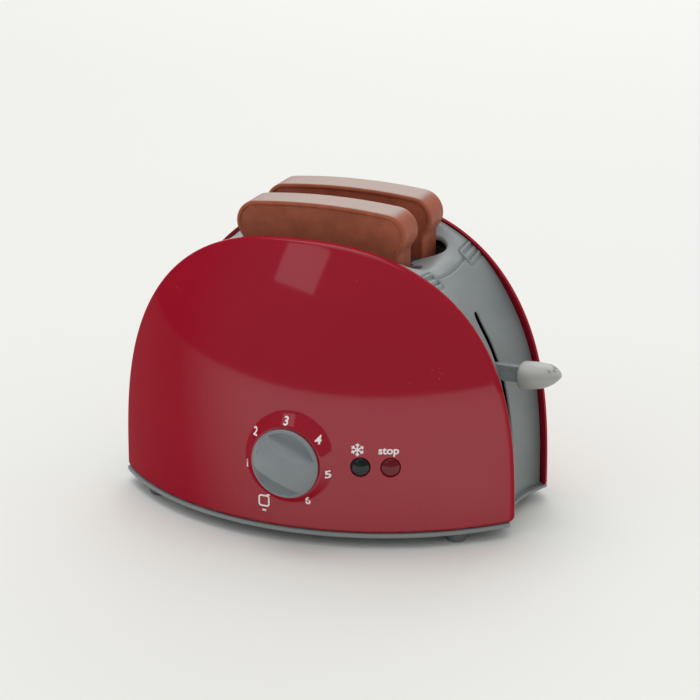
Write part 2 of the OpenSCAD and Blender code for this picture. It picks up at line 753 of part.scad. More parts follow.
// Bracket behind the front cover
module control_bracket() {
    leaf_x = knob_x - wheel_r - slide_gap;
    color([0.24, 0.25, 0.26])
    difference() {
        union() {
            translate([bracket_left, -bracket_y - bracket_t, base_z])
                cube([bracket_right - bracket_left, bracket_t, bracket_top - base_z]);
            // foot, screwed to the base plate
            translate([bracket_left, -bracket_y - bracket_t, base_z]) cube([52, 10.5, 6]);
            // bearing of the shaft
            translate([knob_x, -bracket_y, control_z]) rotate([90, 0, 0]) cylinder(h = 5, r = 6);
            // post that holds the leaf
            translate([leaf_x - 3.1, -wheel_y - wheel_t, control_z - 16])
                cube([5, wheel_y + wheel_t - bracket_y, 5]);
            // sockets of the buttons
            for (x = [defrost_x, stop_x]) intersection() {
                on_face(x) rotate([-90, 0, 0]) translate([0, 0, cup_depth]) cylinder(h = cup_l, r = 5.8);
                translate([0, -80, 0]) cube([80, 80 - bracket_y, 80]);
            }
            // ears of the catch's pin
            for (x = [catch_x - slide_gap - 2, catch_x + catch_w + slide_gap])
                translate([x, -bracket_y - 1, pin_z - 4]) cube([2, bracket_y - pin_y + 4.5, 8]);
        }
        translate([knob_x, -bracket_y + 1, control_z]) rotate([90, 0, 0])
            cylinder(h = 10, r = shaft_r + running_gap);
        translate([leaf_x - 1.1 - 0.05, -wheel_y - wheel_t - 1, control_z - 14.1])
            cube([0.7, wheel_t + 1, 5]);
        for (x = [defrost_x, stop_x]) on_face(x) rotate([-90, 0, 0]) {
            cylinder(h = cup_bottom, r = 4);
            cylinder(h = 30, r = button_stem_r + slide_gap);
        }
        translate([catch_x - 5, -pin_y, pin_z]) rotate([0, 90, 0]) cylinder(h = catch_w + 10, r = pin_r);
        for (p = bracket_screw) translate([p[0], -p[1], 0]) cylinder(h = 20, r = screw_r - 0.2);
    }
}

// ---- Buttons ----

// A button along its own axis: dome out, stem in, seen from the face
module button(tint, stem_end) {
    dome_r = (pow(button_r, 2) + pow(button_dome, 2)) / (2 * button_dome);
    color(tint) rotate([-90, 0, 0]) {
        cylinder(h = flange_depth + 1, r = button_r);
        intersection() {
            translate([0, 0, -button_dome + dome_r]) sphere(dome_r, $fn = 64);
            translate([0, 0, -button_dome]) cylinder(h = button_dome + 0.5, r = button_r);
        }
        translate([0, 0, flange_depth]) cylinder(h = 1, r = button_r + 1.1);
        cylinder(h = stem_end, r = button_stem_r);
    }
}

module defrost_button() on_face(defrost_x) button([0.12, 0.14, 0.15], cup_bottom + 3.5);

module stop_button() {
    // the stem ends just short of the catch's upper arm
    turn = face_turn(stop_x, control_z);
    stem_end = (face_y(stop_x, control_z) - bracket_y - button_stem_r * sin(turn)) / cos(turn);
    on_face(stop_x) button([0.45, 0.04, 0.08], stem_end);
}

// Return spring, drawn at the length it has with its button pressed
module button_spring(x) {
    low = flange_depth + 1 + 0.1;
    high = cup_bottom - button_travel - seat_gap;
    color([0.75, 0.76, 0.77])
    on_face(x) rotate([-90, 0, 0]) translate([0, 0, low]) coil_spring(2.9, 0.25, 4, high - low);
}

module defrost_spring() button_spring(defrost_x);

module stop_spring() button_spring(stop_x);

// ---- Catch ----

module catch_lever() {
    nose_y = tab_y + slide_gap;
    nose_z = tab_high + slide_gap;
    color([0.75, 0.73, 0.68])
    translate([catch_x, 0, 0]) rotate([90, 0, 90]) difference() {
        union() {
            translate([-pin_y, pin_z, 0]) cylinder(h = catch_w, r = 3.2);
            // lower arm with the hook's nose
            linear_extrude(catch_w) polygon([
                [-pin_y - 2.4, pin_z - 1.9], [-pin_y + 2.4, pin_z - 1.9], [-nose_y - 2.4, nose_z + 3.4],
                [-nose_y, nose_z + 2.6], [-nose_y, nose_z], [-nose_y - 3.4, nose_z]]);
            // upper arm, pushed by the stop button's stem
            linear_extrude(catch_w) polygon([
                [-pin_y - 2.5, pin_z + 1], [-pin_y + 1.5, pin_z + 2.2], [-bracket_y + 2.4, control_z + 2.6],
                [-bracket_y + slide_gap, control_z + 2.6], [-bracket_y + slide_gap, control_z - 2.2]]);
        }
        translate([-pin_y, pin_z, -1]) cylinder(h = catch_w + 2, r = pin_r + running_gap);
    }
}

module catch_pin() {
    color([0.7, 0.71, 0.72])
    translate([catch_x - slide_gap - 2, -pin_y, pin_z]) rotate([0, 90, 0])
        cylinder(h = catch_w + 2 * slide_gap + 4, r = pin_r);
}

// ---- Fasteners ----

module screw_up(length) {
    cylinder(h = length, r = screw_r - 0.2);
    difference() {
        cylinder(h = head_h, r1 = head_r - 0.4, r2 = head_r);
        for (a = [0, 90]) rotate([0, 0, a]) translate([-1.6, -0.3, -1]) cube([3.2, 0.6, 1.7]);
    }
}

module base_screws() {
    color([0.68, 0.69, 0.7])
    for (p = screw_places) translate([p[0], p[1], foot_h]) screw_up(screw_l);
}

module guide_screws() {
    color([0.68, 0.69, 0.7])
    for (side = [-1, 1]) translate([side * guide_screw_x, 0, web_low - head_h]) screw_up(screw_l);
}

module placed() translate([-middle_x, -middle_y, 0]) children();

placed() front_cover();
placed() rear_cover();
placed() core_arch();
placed() base_plate();
placed() feet();
placed() toast_guide();
placed() guide_rods();
placed() lift_springs();
placed() carriage();
placed() lever_stem();
placed() lever_grip();
placed() lever_screw();
placed() toast_front();
placed() toast_rear();
placed() knob();
placed() knob_shaft();
placed() knob_clip();
placed() click_spring();
placed() control_bracket();
placed() defrost_button();
placed() stop_button();
placed() defrost_spring();
placed() stop_spring();
placed() catch_lever();  // catch
placed() catch_pin();
placed() base_screws();
placed() guide_screws();
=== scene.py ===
"""Toy toaster in a plain pale studio: glossy covers, moulded grey housing, slices, lever, knob.

Shapes are drawn in millimetres about the middle of the body, as in the part's own source, and
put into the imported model's frame in metres when a piece is made.
"""
import math

import bmesh
import bpy
import numpy as np
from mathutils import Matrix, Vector
from mathutils.geometry import delaunay_2d_cdt


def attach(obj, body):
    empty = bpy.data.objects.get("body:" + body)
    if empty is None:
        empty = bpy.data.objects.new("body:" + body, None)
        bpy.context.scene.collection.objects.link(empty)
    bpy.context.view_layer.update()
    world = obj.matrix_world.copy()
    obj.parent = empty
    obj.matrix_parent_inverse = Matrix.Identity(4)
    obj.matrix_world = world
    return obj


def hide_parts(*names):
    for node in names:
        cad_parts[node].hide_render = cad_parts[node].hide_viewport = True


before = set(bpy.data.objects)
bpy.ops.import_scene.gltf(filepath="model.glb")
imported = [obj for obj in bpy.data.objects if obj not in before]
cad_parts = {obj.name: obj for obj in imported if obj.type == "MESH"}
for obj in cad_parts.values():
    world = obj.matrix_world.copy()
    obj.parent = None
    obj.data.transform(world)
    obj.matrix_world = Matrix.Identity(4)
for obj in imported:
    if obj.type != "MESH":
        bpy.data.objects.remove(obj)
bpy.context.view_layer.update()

MM = 0.001

# ---- Sizes in millimetres ----

# covers: outline, bowed face and lean
BODY_W = 185.0
COVER_H = 120.2
SIDE_POWER = 2.31
CROWN_POWER = 2.765
COVER_Z = 7.0
COVER_T = 3.0
EDGE_DEPTH = 24.0
FACE_BOW = 42.0
CROWN_LEAN = 26.3
LEAN_POWER = 3.0
RIM_R = 1.3
CORNER_R = 1.5

# base and its screws
BASE_Z = COVER_Z - 0.3
RIM_Z = BASE_Z - 1.6
FOOT_TOP = 4.0
BASE_LIP = 0.8
BASE_PULL = 0.4
BASE_HOLLOW = 6.0
SCREW_HEAD_R = 3.0
SCREW_POCKET = 1.6
COVER_SCREWS = [(BODY_W / 2 - 12.5, 12.0), (BODY_W / 2 - 34.5, 42.0)]
BRACKET_SCREWS = [(-10.0, -39.5), (28.0, -39.5)]

# housing: depth of its skin under the outline of the covers
SIDE_INSET = 3.5
TOP_INSET = 1.1
SIDE_DISH = 5.0
TOP_DISH = 1.5
SEAT_GAP = 0.2
EDGE_ROUND = 0.5
EDGE_FLANGE = 3.5
PAST_COVER = 60.0
SHOULDER_X = 60.0

# slices of toast
TOAST_W = 78.6
TOAST_NECK = TOAST_W - 6.6
TOAST_H = 76.8
TOAST_T = 16.0
TOAST_FOOT_R = 6.0
CROWN_R = 9.6
CROWN_RISE = 1.5
TOAST_X = 2.6
TOAST_Z = 62.2
TOAST_ROUND = 1.0
CRUST_LAND = 0.35
CRUST_DEPTH = 0.9

# slots, and the bowl round them
SLOT_L = TOAST_W + 12.4
SLOT_W = TOAST_T + 4.0
SLOT_Y = 15.5
SLOT_WALL = 0.8
LIP_R = 1.0
LIP_WALL = 0.6
BOWL_X = 52.2
BOWL_Y = 35.5
BOWL_POWER = 3.0
BOWL_INNER = 0.55
WEB_Z = 109.6

# hinges and parting grooves on the top
HINGE_X = 54.2
HINGE_HALF = 2.9
HINGE_Y = 17.3
HINGE_CORNER = 1.6
GROOVE_X = HINGE_X + 0.4
GROOVE_BOW = 0.7

# the lever's slot
LEVER_SLOT_W = 4.0
LEVER_LOW = 18.5
LEVER_HIGH = 91.5

# knob, its finger scoops and the cone round it
KNOB_R = 15.2
KNOB_RIM = 1.8
KNOB_DOME = 7.0
BAR_HALF = 5.7
SCOOP_R = 32.0
SCOOP_RUN = 5.0
SCOOP_DEPTH = 6.5
BOWL_RUN = 5.5
BOWL_DEPTH = 1.9
DOT_X = 11.6
KNOB_X = 5.2
CONTROL_Z = 36.9
POINTER = 156.0
COLLAR_H = 1.8
COLLAR_SPREAD = 1.3
COLLAR_BROW = 0.35
COLLAR_STEEP = 0.32
SHAFT_R = 3.0

# push buttons
BUTTON_R = 4.0
BUTTON_DOME = 1.8
DEFROST_X = 36.4
STOP_X = DEFROST_X + 12.0
SLIDE_GAP = 0.3

# the lever's finger grip
STEM_Z = 66.0
GRIP_L = 18.0
GRIP_W = 17.0
GRIP_H = 11.0
GRIP_REACH = 12.5
GRIP_BROAD = 0.36
DIMPLE_R = 0.72
DIMPLE_DEPTH = 1.2

# worked out: radius and axis of the bowed face, foot of the cone
FACE_R = ((BODY_W / 2) ** 2 + FACE_BOW ** 2) / (2 * FACE_BOW)
AXIS_Y = FACE_R - FACE_BOW - EDGE_DEPTH
COLLAR_R = KNOB_R + 1


# ---- Surfaces ----

def ease(v):
    """Smooth step from 0 to 1."""
    s = np.clip(v, 0, 1)
    return s * s * (3 - 2 * s)


def soft_max(a, b, width):
    """The larger of two heights, with the corner between them rounded."""
    share = np.clip(0.5 + 0.5 * (a - b) / width, 0, 1)
    return b + (a - b) * share + width * share * (1 - share)


def soft_min(a, b, width):
    """The smaller of two heights, with the corner between them rounded."""
    return -soft_max(-a, -b, width)


def lean(z):
    """How far a cover leans back at height z."""
    return CROWN_LEAN * (np.maximum(z - COVER_Z, 0) / COVER_H) ** LEAN_POWER


def face_y(x, z):
    """Distance of a cover's face from the mid-plane."""
    return np.sqrt(np.maximum((FACE_R - lean(z)) ** 2 - x * x, 1)) - AXIS_Y


KNOB_FACE = float(face_y(KNOB_X, CONTROL_Z))
KNOB_BACK = KNOB_FACE + COLLAR_H + SLIDE_GAP
MIDDLE = np.array([
    GRIP_REACH / 2,
    (FACE_R + BASE_LIP - AXIS_Y - KNOB_BACK - KNOB_RIM - KNOB_DOME) / 2,
    0.0,
])


def half_oval(t):
    """Outline of the covers at t degrees: 0 is the right foot and 90 the top."""
    c, s = np.cos(np.radians(t)), np.sin(np.radians(t))
    x = BODY_W / 2 * np.sign(c) * np.abs(c) ** (2 / SIDE_POWER)
    return x, COVER_Z + COVER_H * np.maximum(s, 0) ** (2 / CROWN_POWER)


def front_face(x, z):
    """Distance of the front cover's face from the mid-plane, with the cone round the knob."""
    r = np.hypot(x - KNOB_X, z - CONTROL_Z)
    above = np.clip((z - CONTROL_Z) / np.maximum(r, 1), 0, 1)
    beside = np.clip((x - KNOB_X) / np.maximum(r, 1), 0, 1)
    spread = COLLAR_SPREAD + COLLAR_BROW * above ** 2 - COLLAR_STEEP * beside
    top = KNOB_FACE + COLLAR_H
    cone = soft_min(top + 0 * r, top - (r - COLLAR_R) / spread, 0.5)
    return soft_max(face_y(x, z), cone, 0.35)


def housing_inset(t, v):
    """Depth of the housing's skin inside the covers' outline; v is 0 midway, 1 at a cover."""
    side = ease((60 - np.minimum(t, 180 - t)) / 24)
    dish = TOP_DISH + (SIDE_DISH - TOP_DISH) * side
    return TOP_INSET + (SIDE_INSET - TOP_INSET) * side + dish * (1 - v * v)


def half_depth(x, z):
    """Half the housing's depth between the covers."""
    return face_y(x, z) - COVER_T - SEAT_GAP


def crown_height(x, y):
    """Height of the housing's skin over a plan point, before the bowl is sunk in."""
    inset = TOP_INSET + 0 * x
    for _ in range(7):
        c = np.clip(np.abs(x) / (BODY_W / 2 - inset), 0, 1) ** (SIDE_POWER / 2)
        s = np.sqrt(1 - c * c)
        z = COVER_Z + (COVER_H - inset) * s ** (2 / CROWN_POWER)
        v = np.clip(np.abs(y) / half_depth(x, z), 0, 1)
        inset = housing_inset(np.degrees(np.arccos(c)), v)
    return z


def side_reach(y, z):
    """Distance of the housing's side from the middle of the body, at a point of that side."""
    inset = SIDE_INSET + 0 * z
    for _ in range(7):
        s = np.clip((z - COVER_Z) / (COVER_H - inset), 0, 1) ** (CROWN_POWER / 2)
        c = np.sqrt(1 - s * s)
        x = (BODY_W / 2 - inset) * c ** (2 / SIDE_POWER)
        v = np.clip(np.abs(y) / half_depth(x, z), 0, 1)
        inset = housing_inset(np.degrees(np.arcsin(s)), v)
    return x


def hinge_height(x, y):
    """Moulded hinge at each end of the top, beside each cover: groove, frame, recess, barrel."""
    across = np.abs(np.abs(x) - HINGE_X)
    px = across - (HINGE_HALF - HINGE_CORNER)
    py = HINGE_Y + HINGE_CORNER - np.abs(y)
    edge = (np.hypot(np.maximum(px, 0), np.maximum(py, 0))
            + np.minimum(np.maximum(px, py), 0) - HINGE_CORNER)
    groove = -0.8 * np.exp(-((edge - 0.5) / 0.4) ** 2)
    frame_land = 0.45 * ease((0.15 - edge) / 0.3)
    recess = -1.4 * ease((-edge - 0.85) / 0.3)
    barrel_r = 0.95
    barrel = np.where(edge < -0.95, np.sqrt(np.maximum(1 - (across / barrel_r) ** 2, 0)), 0)
    return groove + frame_land + recess + barrel * barrel_r


def groove_x(y):
    """Distance of the parting groove from the middle."""
    return GROOVE_X - GROOVE_BOW * (y / HINGE_Y) ** 2


def groove_height(x, y):
    """Parting groove across the top between two hinges, with a soft lip on its outer side."""
    across = np.abs(x) - groove_x(y)
    ends = ease((HINGE_Y - np.abs(y)) / 0.8)
    cut = -1.1 * np.exp(-(across / 0.5) ** 2)
    return (cut + 0.15 * np.exp(-((across - 1.0) / 0.5) ** 2)) * ends


def top_height(x, y):
    """Height of the housing's top: crown, bowl round the slots, hinges and groove."""
    crown = crown_height(x, y)
    share = np.abs(x / BOWL_X) ** BOWL_POWER + np.abs(y / BOWL_Y) ** BOWL_POWER
    share = share ** (1 / BOWL_POWER)
    rise = (np.maximum(share - BOWL_INNER, 0) / (1 - BOWL_INNER)) ** 2
    bowl = WEB_Z + np.maximum(crown - WEB_Z, 1.0) * rise
    return soft_min(crown, bowl, 0.7) + hinge_height(x, y) + groove_height(x, y)


# ---- Loops and lattices ----

def even_loop(points, spacing):
    """A closed polyline again, with evenly spaced points."""
    ring = np.vstack([points, points[:1]])
    at = np.concatenate([[0], np.cumsum(np.hypot(*np.diff(ring, axis=0).T))])
    steps = np.linspace(0, at[-1], int(round(at[-1] / spacing)), endpoint=False)
    return np.column_stack([np.interp(steps, at, ring[:, k]) for k in (0, 1)])


def outward(loop):
    """Unit normals of a loop that runs anticlockwise."""
    along = np.roll(loop, -1, axis=0) - np.roll(loop, 1, axis=0)
    along /= np.hypot(*along.T)[:, None]
    return np.column_stack([along[:, 1], -along[:, 0]])


def arc_points(centre, radius, start, end, count):
    """Points on an arc, angles in degrees."""
    turn = np.radians(np.linspace(start, end, count))
    return np.column_stack([centre[0] + radius * np.cos(turn), centre[1] + radius * np.sin(turn)])


def lattice(low, high, spacing):
    """Staggered lattice of points over a rectangle."""
    rows = np.arange(low[1], high[1] + spacing / 2, spacing * 0.87)
    out = []
    for i, b in enumerate(rows):
        across = np.arange(low[0] + (i % 2) * spacing / 2, high[0] + spacing / 4, spacing)
        out.append(np.column_stack([across, np.full_like(across, b)]))
    return np.vstack(out)


def inside(points, loop):
    """Which flat points lie inside a closed loop."""
    a, b = points.T
    within = np.zeros(len(points), bool)
    for (a0, b0), (a1, b1) in zip(loop, np.roll(loop, -1, axis=0)):
        if b0 != b1:
            within ^= ((b0 > b) != (b1 > b)) & (a < (a1 - a0) * (b - b0) / (b1 - b0) + a0)
    return within


def clear_of(points, others, room):
    """The points that lie at least room away from every one of the others."""
    keep = np.ones(len(points), bool)
    for other in others:
        keep &= np.hypot(*(points - other).T) > room
    return points[keep]


# ---- Shapes ----

class Shape:
    """Points, normals and faces of one piece, in millimetres about the middle of the body."""

    def __init__(self):
        self.points = []
        self.normals = []
        self.faces = []

    def add(self, points, normals=None):
        """Adds points and returns their numbers; a zero normal is worked out by Blender."""
        first = len(self.points)
        self.points.extend(np.asarray(points, float).tolist())
        given = np.zeros((len(points), 3)) if normals is None else normals
        self.normals.extend(np.asarray(given, float).tolist())
        return list(range(first, len(self.points)))

    def bridge(self, a, b, closed=True):
        """Faces between two rings, where b lies outside or behind a."""
        count = len(a)
        for i in range(count if closed else count - 1):
            j = (i + 1) % count
            self.faces.append((a[i], b[i], b[j], a[j]))

    def stack(self, rings, flip=False):
        """Adds rings of points one behind the other and joins them; returns their numbers."""
        made = [self.add(ring) for ring in rings]
        for a, b in zip(made, made[1:]):
            self.bridge(*((b, a) if flip else (a, b)))
        return made

    def rim(self, place, steps, along, hole=True):
        """Rings that go in from the edge of a surface: steps are flat loops and their depths.

        Returns the first and the last ring, each as its numbers and its flat loop.
        """
        first = last = self.lifted(place, steps[0][0])
        for flat, depth in steps[1:]:
            made = self.add(place(*flat.T) + np.array(along) * depth)
            self.bridge(*((made, last) if hole else (last, made)))
            last = made
        return (first, steps[0][0]), (last, steps[-1][0])

    def close(self, ring, centre, normal, flip=False):
        """Closes a ring with a fan to one more point."""
        tip = self.add([centre], [normal])[0]
        for i, a in enumerate(ring):
            b = ring[(i + 1) % len(ring)]
            self.faces.append((b, a, tip) if flip else (a, b, tip))

    def lifted(self, place, flat, flip=False):
        """Adds flat points that place() lifts, with the lifted surface's own normals."""
        a, b = flat.T
        step = 0.03
        du = place(a + step, b) - place(a - step, b)
        dv = place(a, b + step) - place(a, b - step)
        normal = np.cross(du, dv) * (-1 if flip else 1)
        normal /= np.maximum(np.linalg.norm(normal, axis=1), 1e-12)[:, None]
        return self.add(place(a, b), normal)

    def fill(self, place, loops, inner, room, flip=False):
        """Triangles over the area inside the first loop and outside the others."""
        outer, holes = loops[0][1], [flat for _, flat in loops[1:]]
        inner = inner[inside(inner, outer)]
        for hole in holes:
            inner = inner[~inside(inner, hole)]
        for _, flat in loops:
            inner = clear_of(inner, flat, room)
        flat = np.vstack([f for _, f in loops] + [inner])
        numbers = [n for ids, _ in loops for n in ids] + self.lifted(place, inner, flip)
        edges, first = [], 0
        for ids, _ in loops:
            edges += [(first + i, first + (i + 1) % len(ids)) for i in range(len(ids))]
            first += len(ids)
        verts, _, faces, origin, _, _ = delaunay_2d_cdt(
            [Vector(p) for p in flat], edges, [], 0, 1e-7)
        middles = np.array([np.mean([verts[k] for k in face], axis=0) for face in faces])
        wanted = inside(middles, outer)
        for hole in holes:
            wanted &= ~inside(middles, hole)
        for face, use in zip(faces, wanted):
            if use:
                corners = tuple(numbers[origin[k][0]] for k in face)
                self.faces.append(corners[::-1] if flip else corners)

    def turned(self, turn):
        """The same shape with every point and normal passed through turn()."""
        made = Shape()
        made.faces = list(self.faces)
        made.points = turn(np.array(self.points)).tolist()
        made.normals = turn(np.array(self.normals)).tolist()
        return made


def make_piece(name, shape, material, body, stands_for=()):
    """One Blender object from a shape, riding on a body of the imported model."""
    mesh = bpy.data.meshes.new(name)
    points = (np.array(shape.points) - MIDDLE) * MM
    mesh.from_pydata(points.tolist(), [], shape.faces)
    mesh.polygons.foreach_set("use_smooth", [True] * len(mesh.polygons))
    mesh.update()
    mesh.normals_split_custom_set_from_vertices([Vector(n) for n in shape.normals])
    piece = bpy.data.objects.new(name, mesh)
    bpy.context.scene.collection.objects.link(piece)
    mesh.materials.append(material)
    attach(piece, body)
    if stands_for:
        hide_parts(*stands_for)
    return piece


# ---- Shader helpers ----

class Value:
    """One shader socket that takes part in plain sums, as a number does."""

    def __init__(self, paint, socket):
        self.paint = paint
        self.socket = socket

    def math(self, operation, *others):
        return self.paint.node("Math", {"operation": operation}, dict(enumerate((self,) + others)))

    def __add__(self, other):
        return self.math("ADD", other)

    def __sub__(self, other):
        return self.math("SUBTRACT", other)

    def __mul__(self, other):
        return self.math("MULTIPLY", other)

    def __rsub__(self, other):
        return self.paint.node("Math", {"operation": "SUBTRACT"}, {0: other, 1: self})

    __radd__ = __add__
    __rmul__ = __mul__

    def between(self, low, high):
        """0 below low and 1 above high, smooth between."""
        return self.paint.node("MapRange", {"interpolation_type": "SMOOTHSTEP"},
                               {"Value": self, "From Min": low, "From Max": high})


class Paint:
    """A node tree under construction, of a material or of the world."""

    def __init__(self, owner):
        owner.use_nodes = True
        self.tree = owner.node_tree
        self.tree.nodes.clear()

    def node(self, kind, settings=None, inputs=None, output=0):
        """Adds a node: its settings first, then the values or links of its sockets."""
        made = self.tree.nodes.new("ShaderNode" + kind)
        for name, value in (settings or {}).items():
            setattr(made, name, value)
        for name, value in (inputs or {}).items():
            if isinstance(value, Value):
                self.tree.links.new(value.socket, made.inputs[name])
            else:
                made.inputs[name].default_value = value
        return Value(self, made.outputs[output]) if made.outputs else made

    def mix(self, share, first, second):
        """Colour between two colours."""
        return self.node("Mix", {"data_type": "RGBA"}, {0: share, 6: first, 7: second}, output=2)

    def place(self):
        """Position on the piece, in metres of the shared frame."""
        return self.node("TexCoord", output=3)

    def noise(self, scale, detail=2.0, roughness=0.5, vector=None):
        return self.node("TexNoise", {}, {
            "Vector": vector or self.place(), "Scale": scale, "Detail": detail,
            "Roughness": roughness})

    def worn_edges(self):
        """1 on sharp outer edges and 0 elsewhere, broken up a little; the paler edges it gives
        stand for rubbed wear and a painted edge highlight.
        """
        sharp = self.node("NewGeometry", output=7).between(0.52, 0.60)
        return sharp * self.noise(300.0, 2.0).between(0.25, 0.6)

    def bump(self, height, distance, strength=1.0):
        return self.node("Bump", {}, {"Strength": strength, "Distance": distance, "Height": height})

    def surface(self, **sockets):
        """Principled shader on the output."""
        shader = self.node("BsdfPrincipled", {}, {
            name.replace("_", " "): value for name, value in sockets.items()})
        self.node("OutputMaterial", {}, {"Surface": shader})


def new_paint(name):
    """A new material and the paint for it."""
    material = bpy.data.materials.new(name)
    return material, Paint(material)


def rgb(red, green, blue):
    """Colour with full alpha, linear values."""
    return (red, green, blue, 1.0)


def dust_specks(paint, scale, size):
    """Sparse small round specks, 1 on a speck and 0 elsewhere."""
    cells = paint.node("TexVoronoi", {}, {"Vector": paint.place(), "Scale": scale})
    pick = paint.noise(scale * 0.21, 1.0)
    return (1 - cells.between(size * 0.5, size)) * pick.between(0.66, 0.7)


# ---- Materials ----

def glossy_cover_red():
    """High-gloss crimson moulding with faint flow ripple, hairlines and a little dust."""
    material, paint = new_paint("glossy_cover_red")
    cloud = paint.noise(38.0, 2.0)
    specks = dust_specks(paint, 420.0, 0.10)
    hair = paint.noise(900.0, 3.0, 0.7)
    deep, warm = rgb(0.318, 0.0064, 0.0192), rgb(0.348, 0.0080, 0.0225)
    base = paint.mix(specks * 0.35, paint.mix(cloud, deep, warm), rgb(0.62, 0.40, 0.40))
    # sharp edges painted a paler red: rubbed wear and a painted highlight along the rims
    base = paint.mix(paint.worn_edges() * 0.3, base, rgb(0.55, 0.10, 0.12))
    rough = hair.between(0.35, 0.75) * 0.035 + 0.205 + specks * 0.3
    ripple = paint.noise(85.0, 1.0)
    height = ripple + specks * 0.25
    # the gloss weakens where the face turns away, and comes back along the rims
    facing = paint.node("LayerWeight", {}, {"Blend": 0.5}, output=1)
    gloss = 1 - (facing.between(0.10, 0.40) - facing.between(0.86, 0.99)) * 0.9
    paint.surface(Base_Color=base, Roughness=rough, IOR=1.5, Specular_IOR_Level=0.0,
                  Coat_Weight=gloss, Coat_Roughness=0.075, Coat_IOR=1.62,
                  Normal=paint.bump(height, 0.00004, 0.55))
    return material


def satin_plastic(name, colour, spread, rough=0.42):
    """Moulded plastic with a spark-eroded satin grain and slight shade variation."""
    material, paint = new_paint(name)
    cloud = paint.noise(55.0, 3.0)
    fine = paint.noise(2600.0, 2.0, 0.6)
    low = rgb(*[c * (1 - spread) for c in colour])
    high = rgb(*[c * (1 + spread) for c in colour])
    base = paint.mix(cloud.between(0.3, 0.7), low, high)
    # sharp edges painted paler: rubbed wear and a painted highlight along them
    edge_wear_and_highlight = paint.worn_edges() * 0.4
    base = paint.mix(edge_wear_and_highlight, base, rgb(*[min(c * 1.5, 1) for c in colour]))
    paint.surface(Base_Color=base, Roughness=fine * 0.10 + (rough - 0.05) - edge_wear_and_highlight * 0.1, IOR=1.48,
                  Normal=paint.bump(fine, 0.00003, 0.5))
    return material


def toast_plastic():
    """Satin brown of the slices: warmer crust edge, slightly mottled, fine grain, upward faces
    painted paler as a sheen.
    """
    material, paint = new_paint("toast_plastic")
    mottle = paint.noise(140.0, 4.0, 0.6)
    fine = paint.noise(2300.0, 2.0)
    crumb = paint.noise(520.0, 3.0, 0.6)
    brown, warm = rgb(0.330, 0.090, 0.051), rgb(0.400, 0.115, 0.064)
    base = paint.mix(mottle.between(0.3, 0.7), brown, warm)
    # painted sheen: faces turned upward are painted paler and given a polished coat, standing in
    # for the glare of the light from above on the crust tops
    facing = paint.node("NewGeometry", output=1)
    top = paint.node("SeparateXYZ", {}, {"Vector": facing}, output=2).between(0.82, 0.99)
    base = paint.mix(top * 0.8, base, rgb(0.25, 0.16, 0.115))
    base = paint.mix(paint.worn_edges() * 0.35, base, rgb(0.62, 0.25, 0.15))
    height = fine * 0.4 + crumb * 0.6
    paint.surface(Base_Color=base, Roughness=fine * 0.08 + 0.34, IOR=1.5,
                  Specular_IOR_Level=0.08, Coat_Weight=top * 0.5, Coat_Roughness=0.3, Coat_IOR=1.6,
                  Normal=paint.bump(height, 0.00006, 0.5))
    return material


def glossy_button(name, colour, tint):
    """Small glossy moulding, deeper in colour in the middle, painted paler toward its outline as a
    sheen.
    """
    material, paint = new_paint(name)
    cloud = paint.noise(260.0, 2.0)
    # painted sheen: the colour turns to the paler tint where the surface turns away from view
    rim = paint.node("LayerWeight", {}, {"Blend": 0.35}, output=1)
    base = paint.mix(rim * 0.6, paint.mix(cloud * 0.4, rgb(*colour), rgb(*tint)), rgb(*tint))
    pale = rgb(*[min(c * 1.5 + 0.03, 1) for c in tint])
    base = paint.mix(paint.worn_edges() * 0.35, base, pale)
    ripple = paint.noise(600.0, 1.0)
    paint.surface(Base_Color=base, Roughness=cloud * 0.05 + 0.07, IOR=1.5,
                  Normal=paint.bump(ripple, 0.00002, 0.4))
    return material


def printed_white():
    """Pad-printed white marks, slightly uneven in cover."""
    material, paint = new_paint("printed_white")
    ink = paint.noise(2500.0, 3.0)
    base = paint.mix(ink.between(0.35, 0.7), rgb(0.84, 0.80, 0.80), rgb(0.95, 0.93, 0.92))
    base = paint.mix(ink.between(0.64, 0.80) * 0.3, base, rgb(0.72, 0.42, 0.44))
    paint.surface(Base_Color=base, Roughness=ink * 0.2 + 0.35,
                  Normal=paint.bump(ink, 0.00001, 0.5))
    return material


def zinc_steel():
    """Zinc-plated steel, drawn lengthwise."""
    material, paint = new_paint("zinc_steel")
    stretched = paint.node("Mapping", {}, {"Vector": paint.place(), "Scale": (1.0, 1.0, 0.08)})
    streaks = paint.noise(4200.0, 3.0, 0.6, stretched)
    cloud = paint.noise(300.0, 2.0)
    base = paint.mix(cloud, rgb(0.50, 0.51, 0.52), rgb(0.63, 0.64, 0.65))
    base = paint.mix(paint.worn_edges() * 0.5, base, rgb(0.74, 0.75, 0.76))
    paint.surface(Base_Color=base, Metallic=1.0, Roughness=streaks * 0.2 + 0.24,
                  Normal=paint.bump(streaks, 0.00001, 0.5))
    return material


# ---- Covers ----

def cover_outline():
    """Closed outline of a cover, anticlockwise seen from the front, with rounded lower corners."""
    t = np.linspace(0, 180, 1441)
    x, z = half_oval(t)
    above = z > COVER_Z + CORNER_R
    right = arc_points((BODY_W / 2 - CORNER_R, COVER_Z + CORNER_R), CORNER_R, -90, 0, 12)
    left = np.column_stack([-right[::-1, 0], right[::-1, 1]])
    return even_loop(np.vstack([right, np.column_stack([x, z])[above], left]), 1.1)


def round_hole(x, z, radius, depth):
    """Flat points of a hole square to the bowed face, at a depth behind it."""
    turn = math.asin(x / (FACE_R - float(lean(z))))
    around = np.linspace(0, 2 * math.pi, 48, endpoint=False)
    return np.column_stack([x + radius * np.cos(around) * math.cos(turn) - depth * math.sin(turn),
                            z + radius * np.sin(around)])


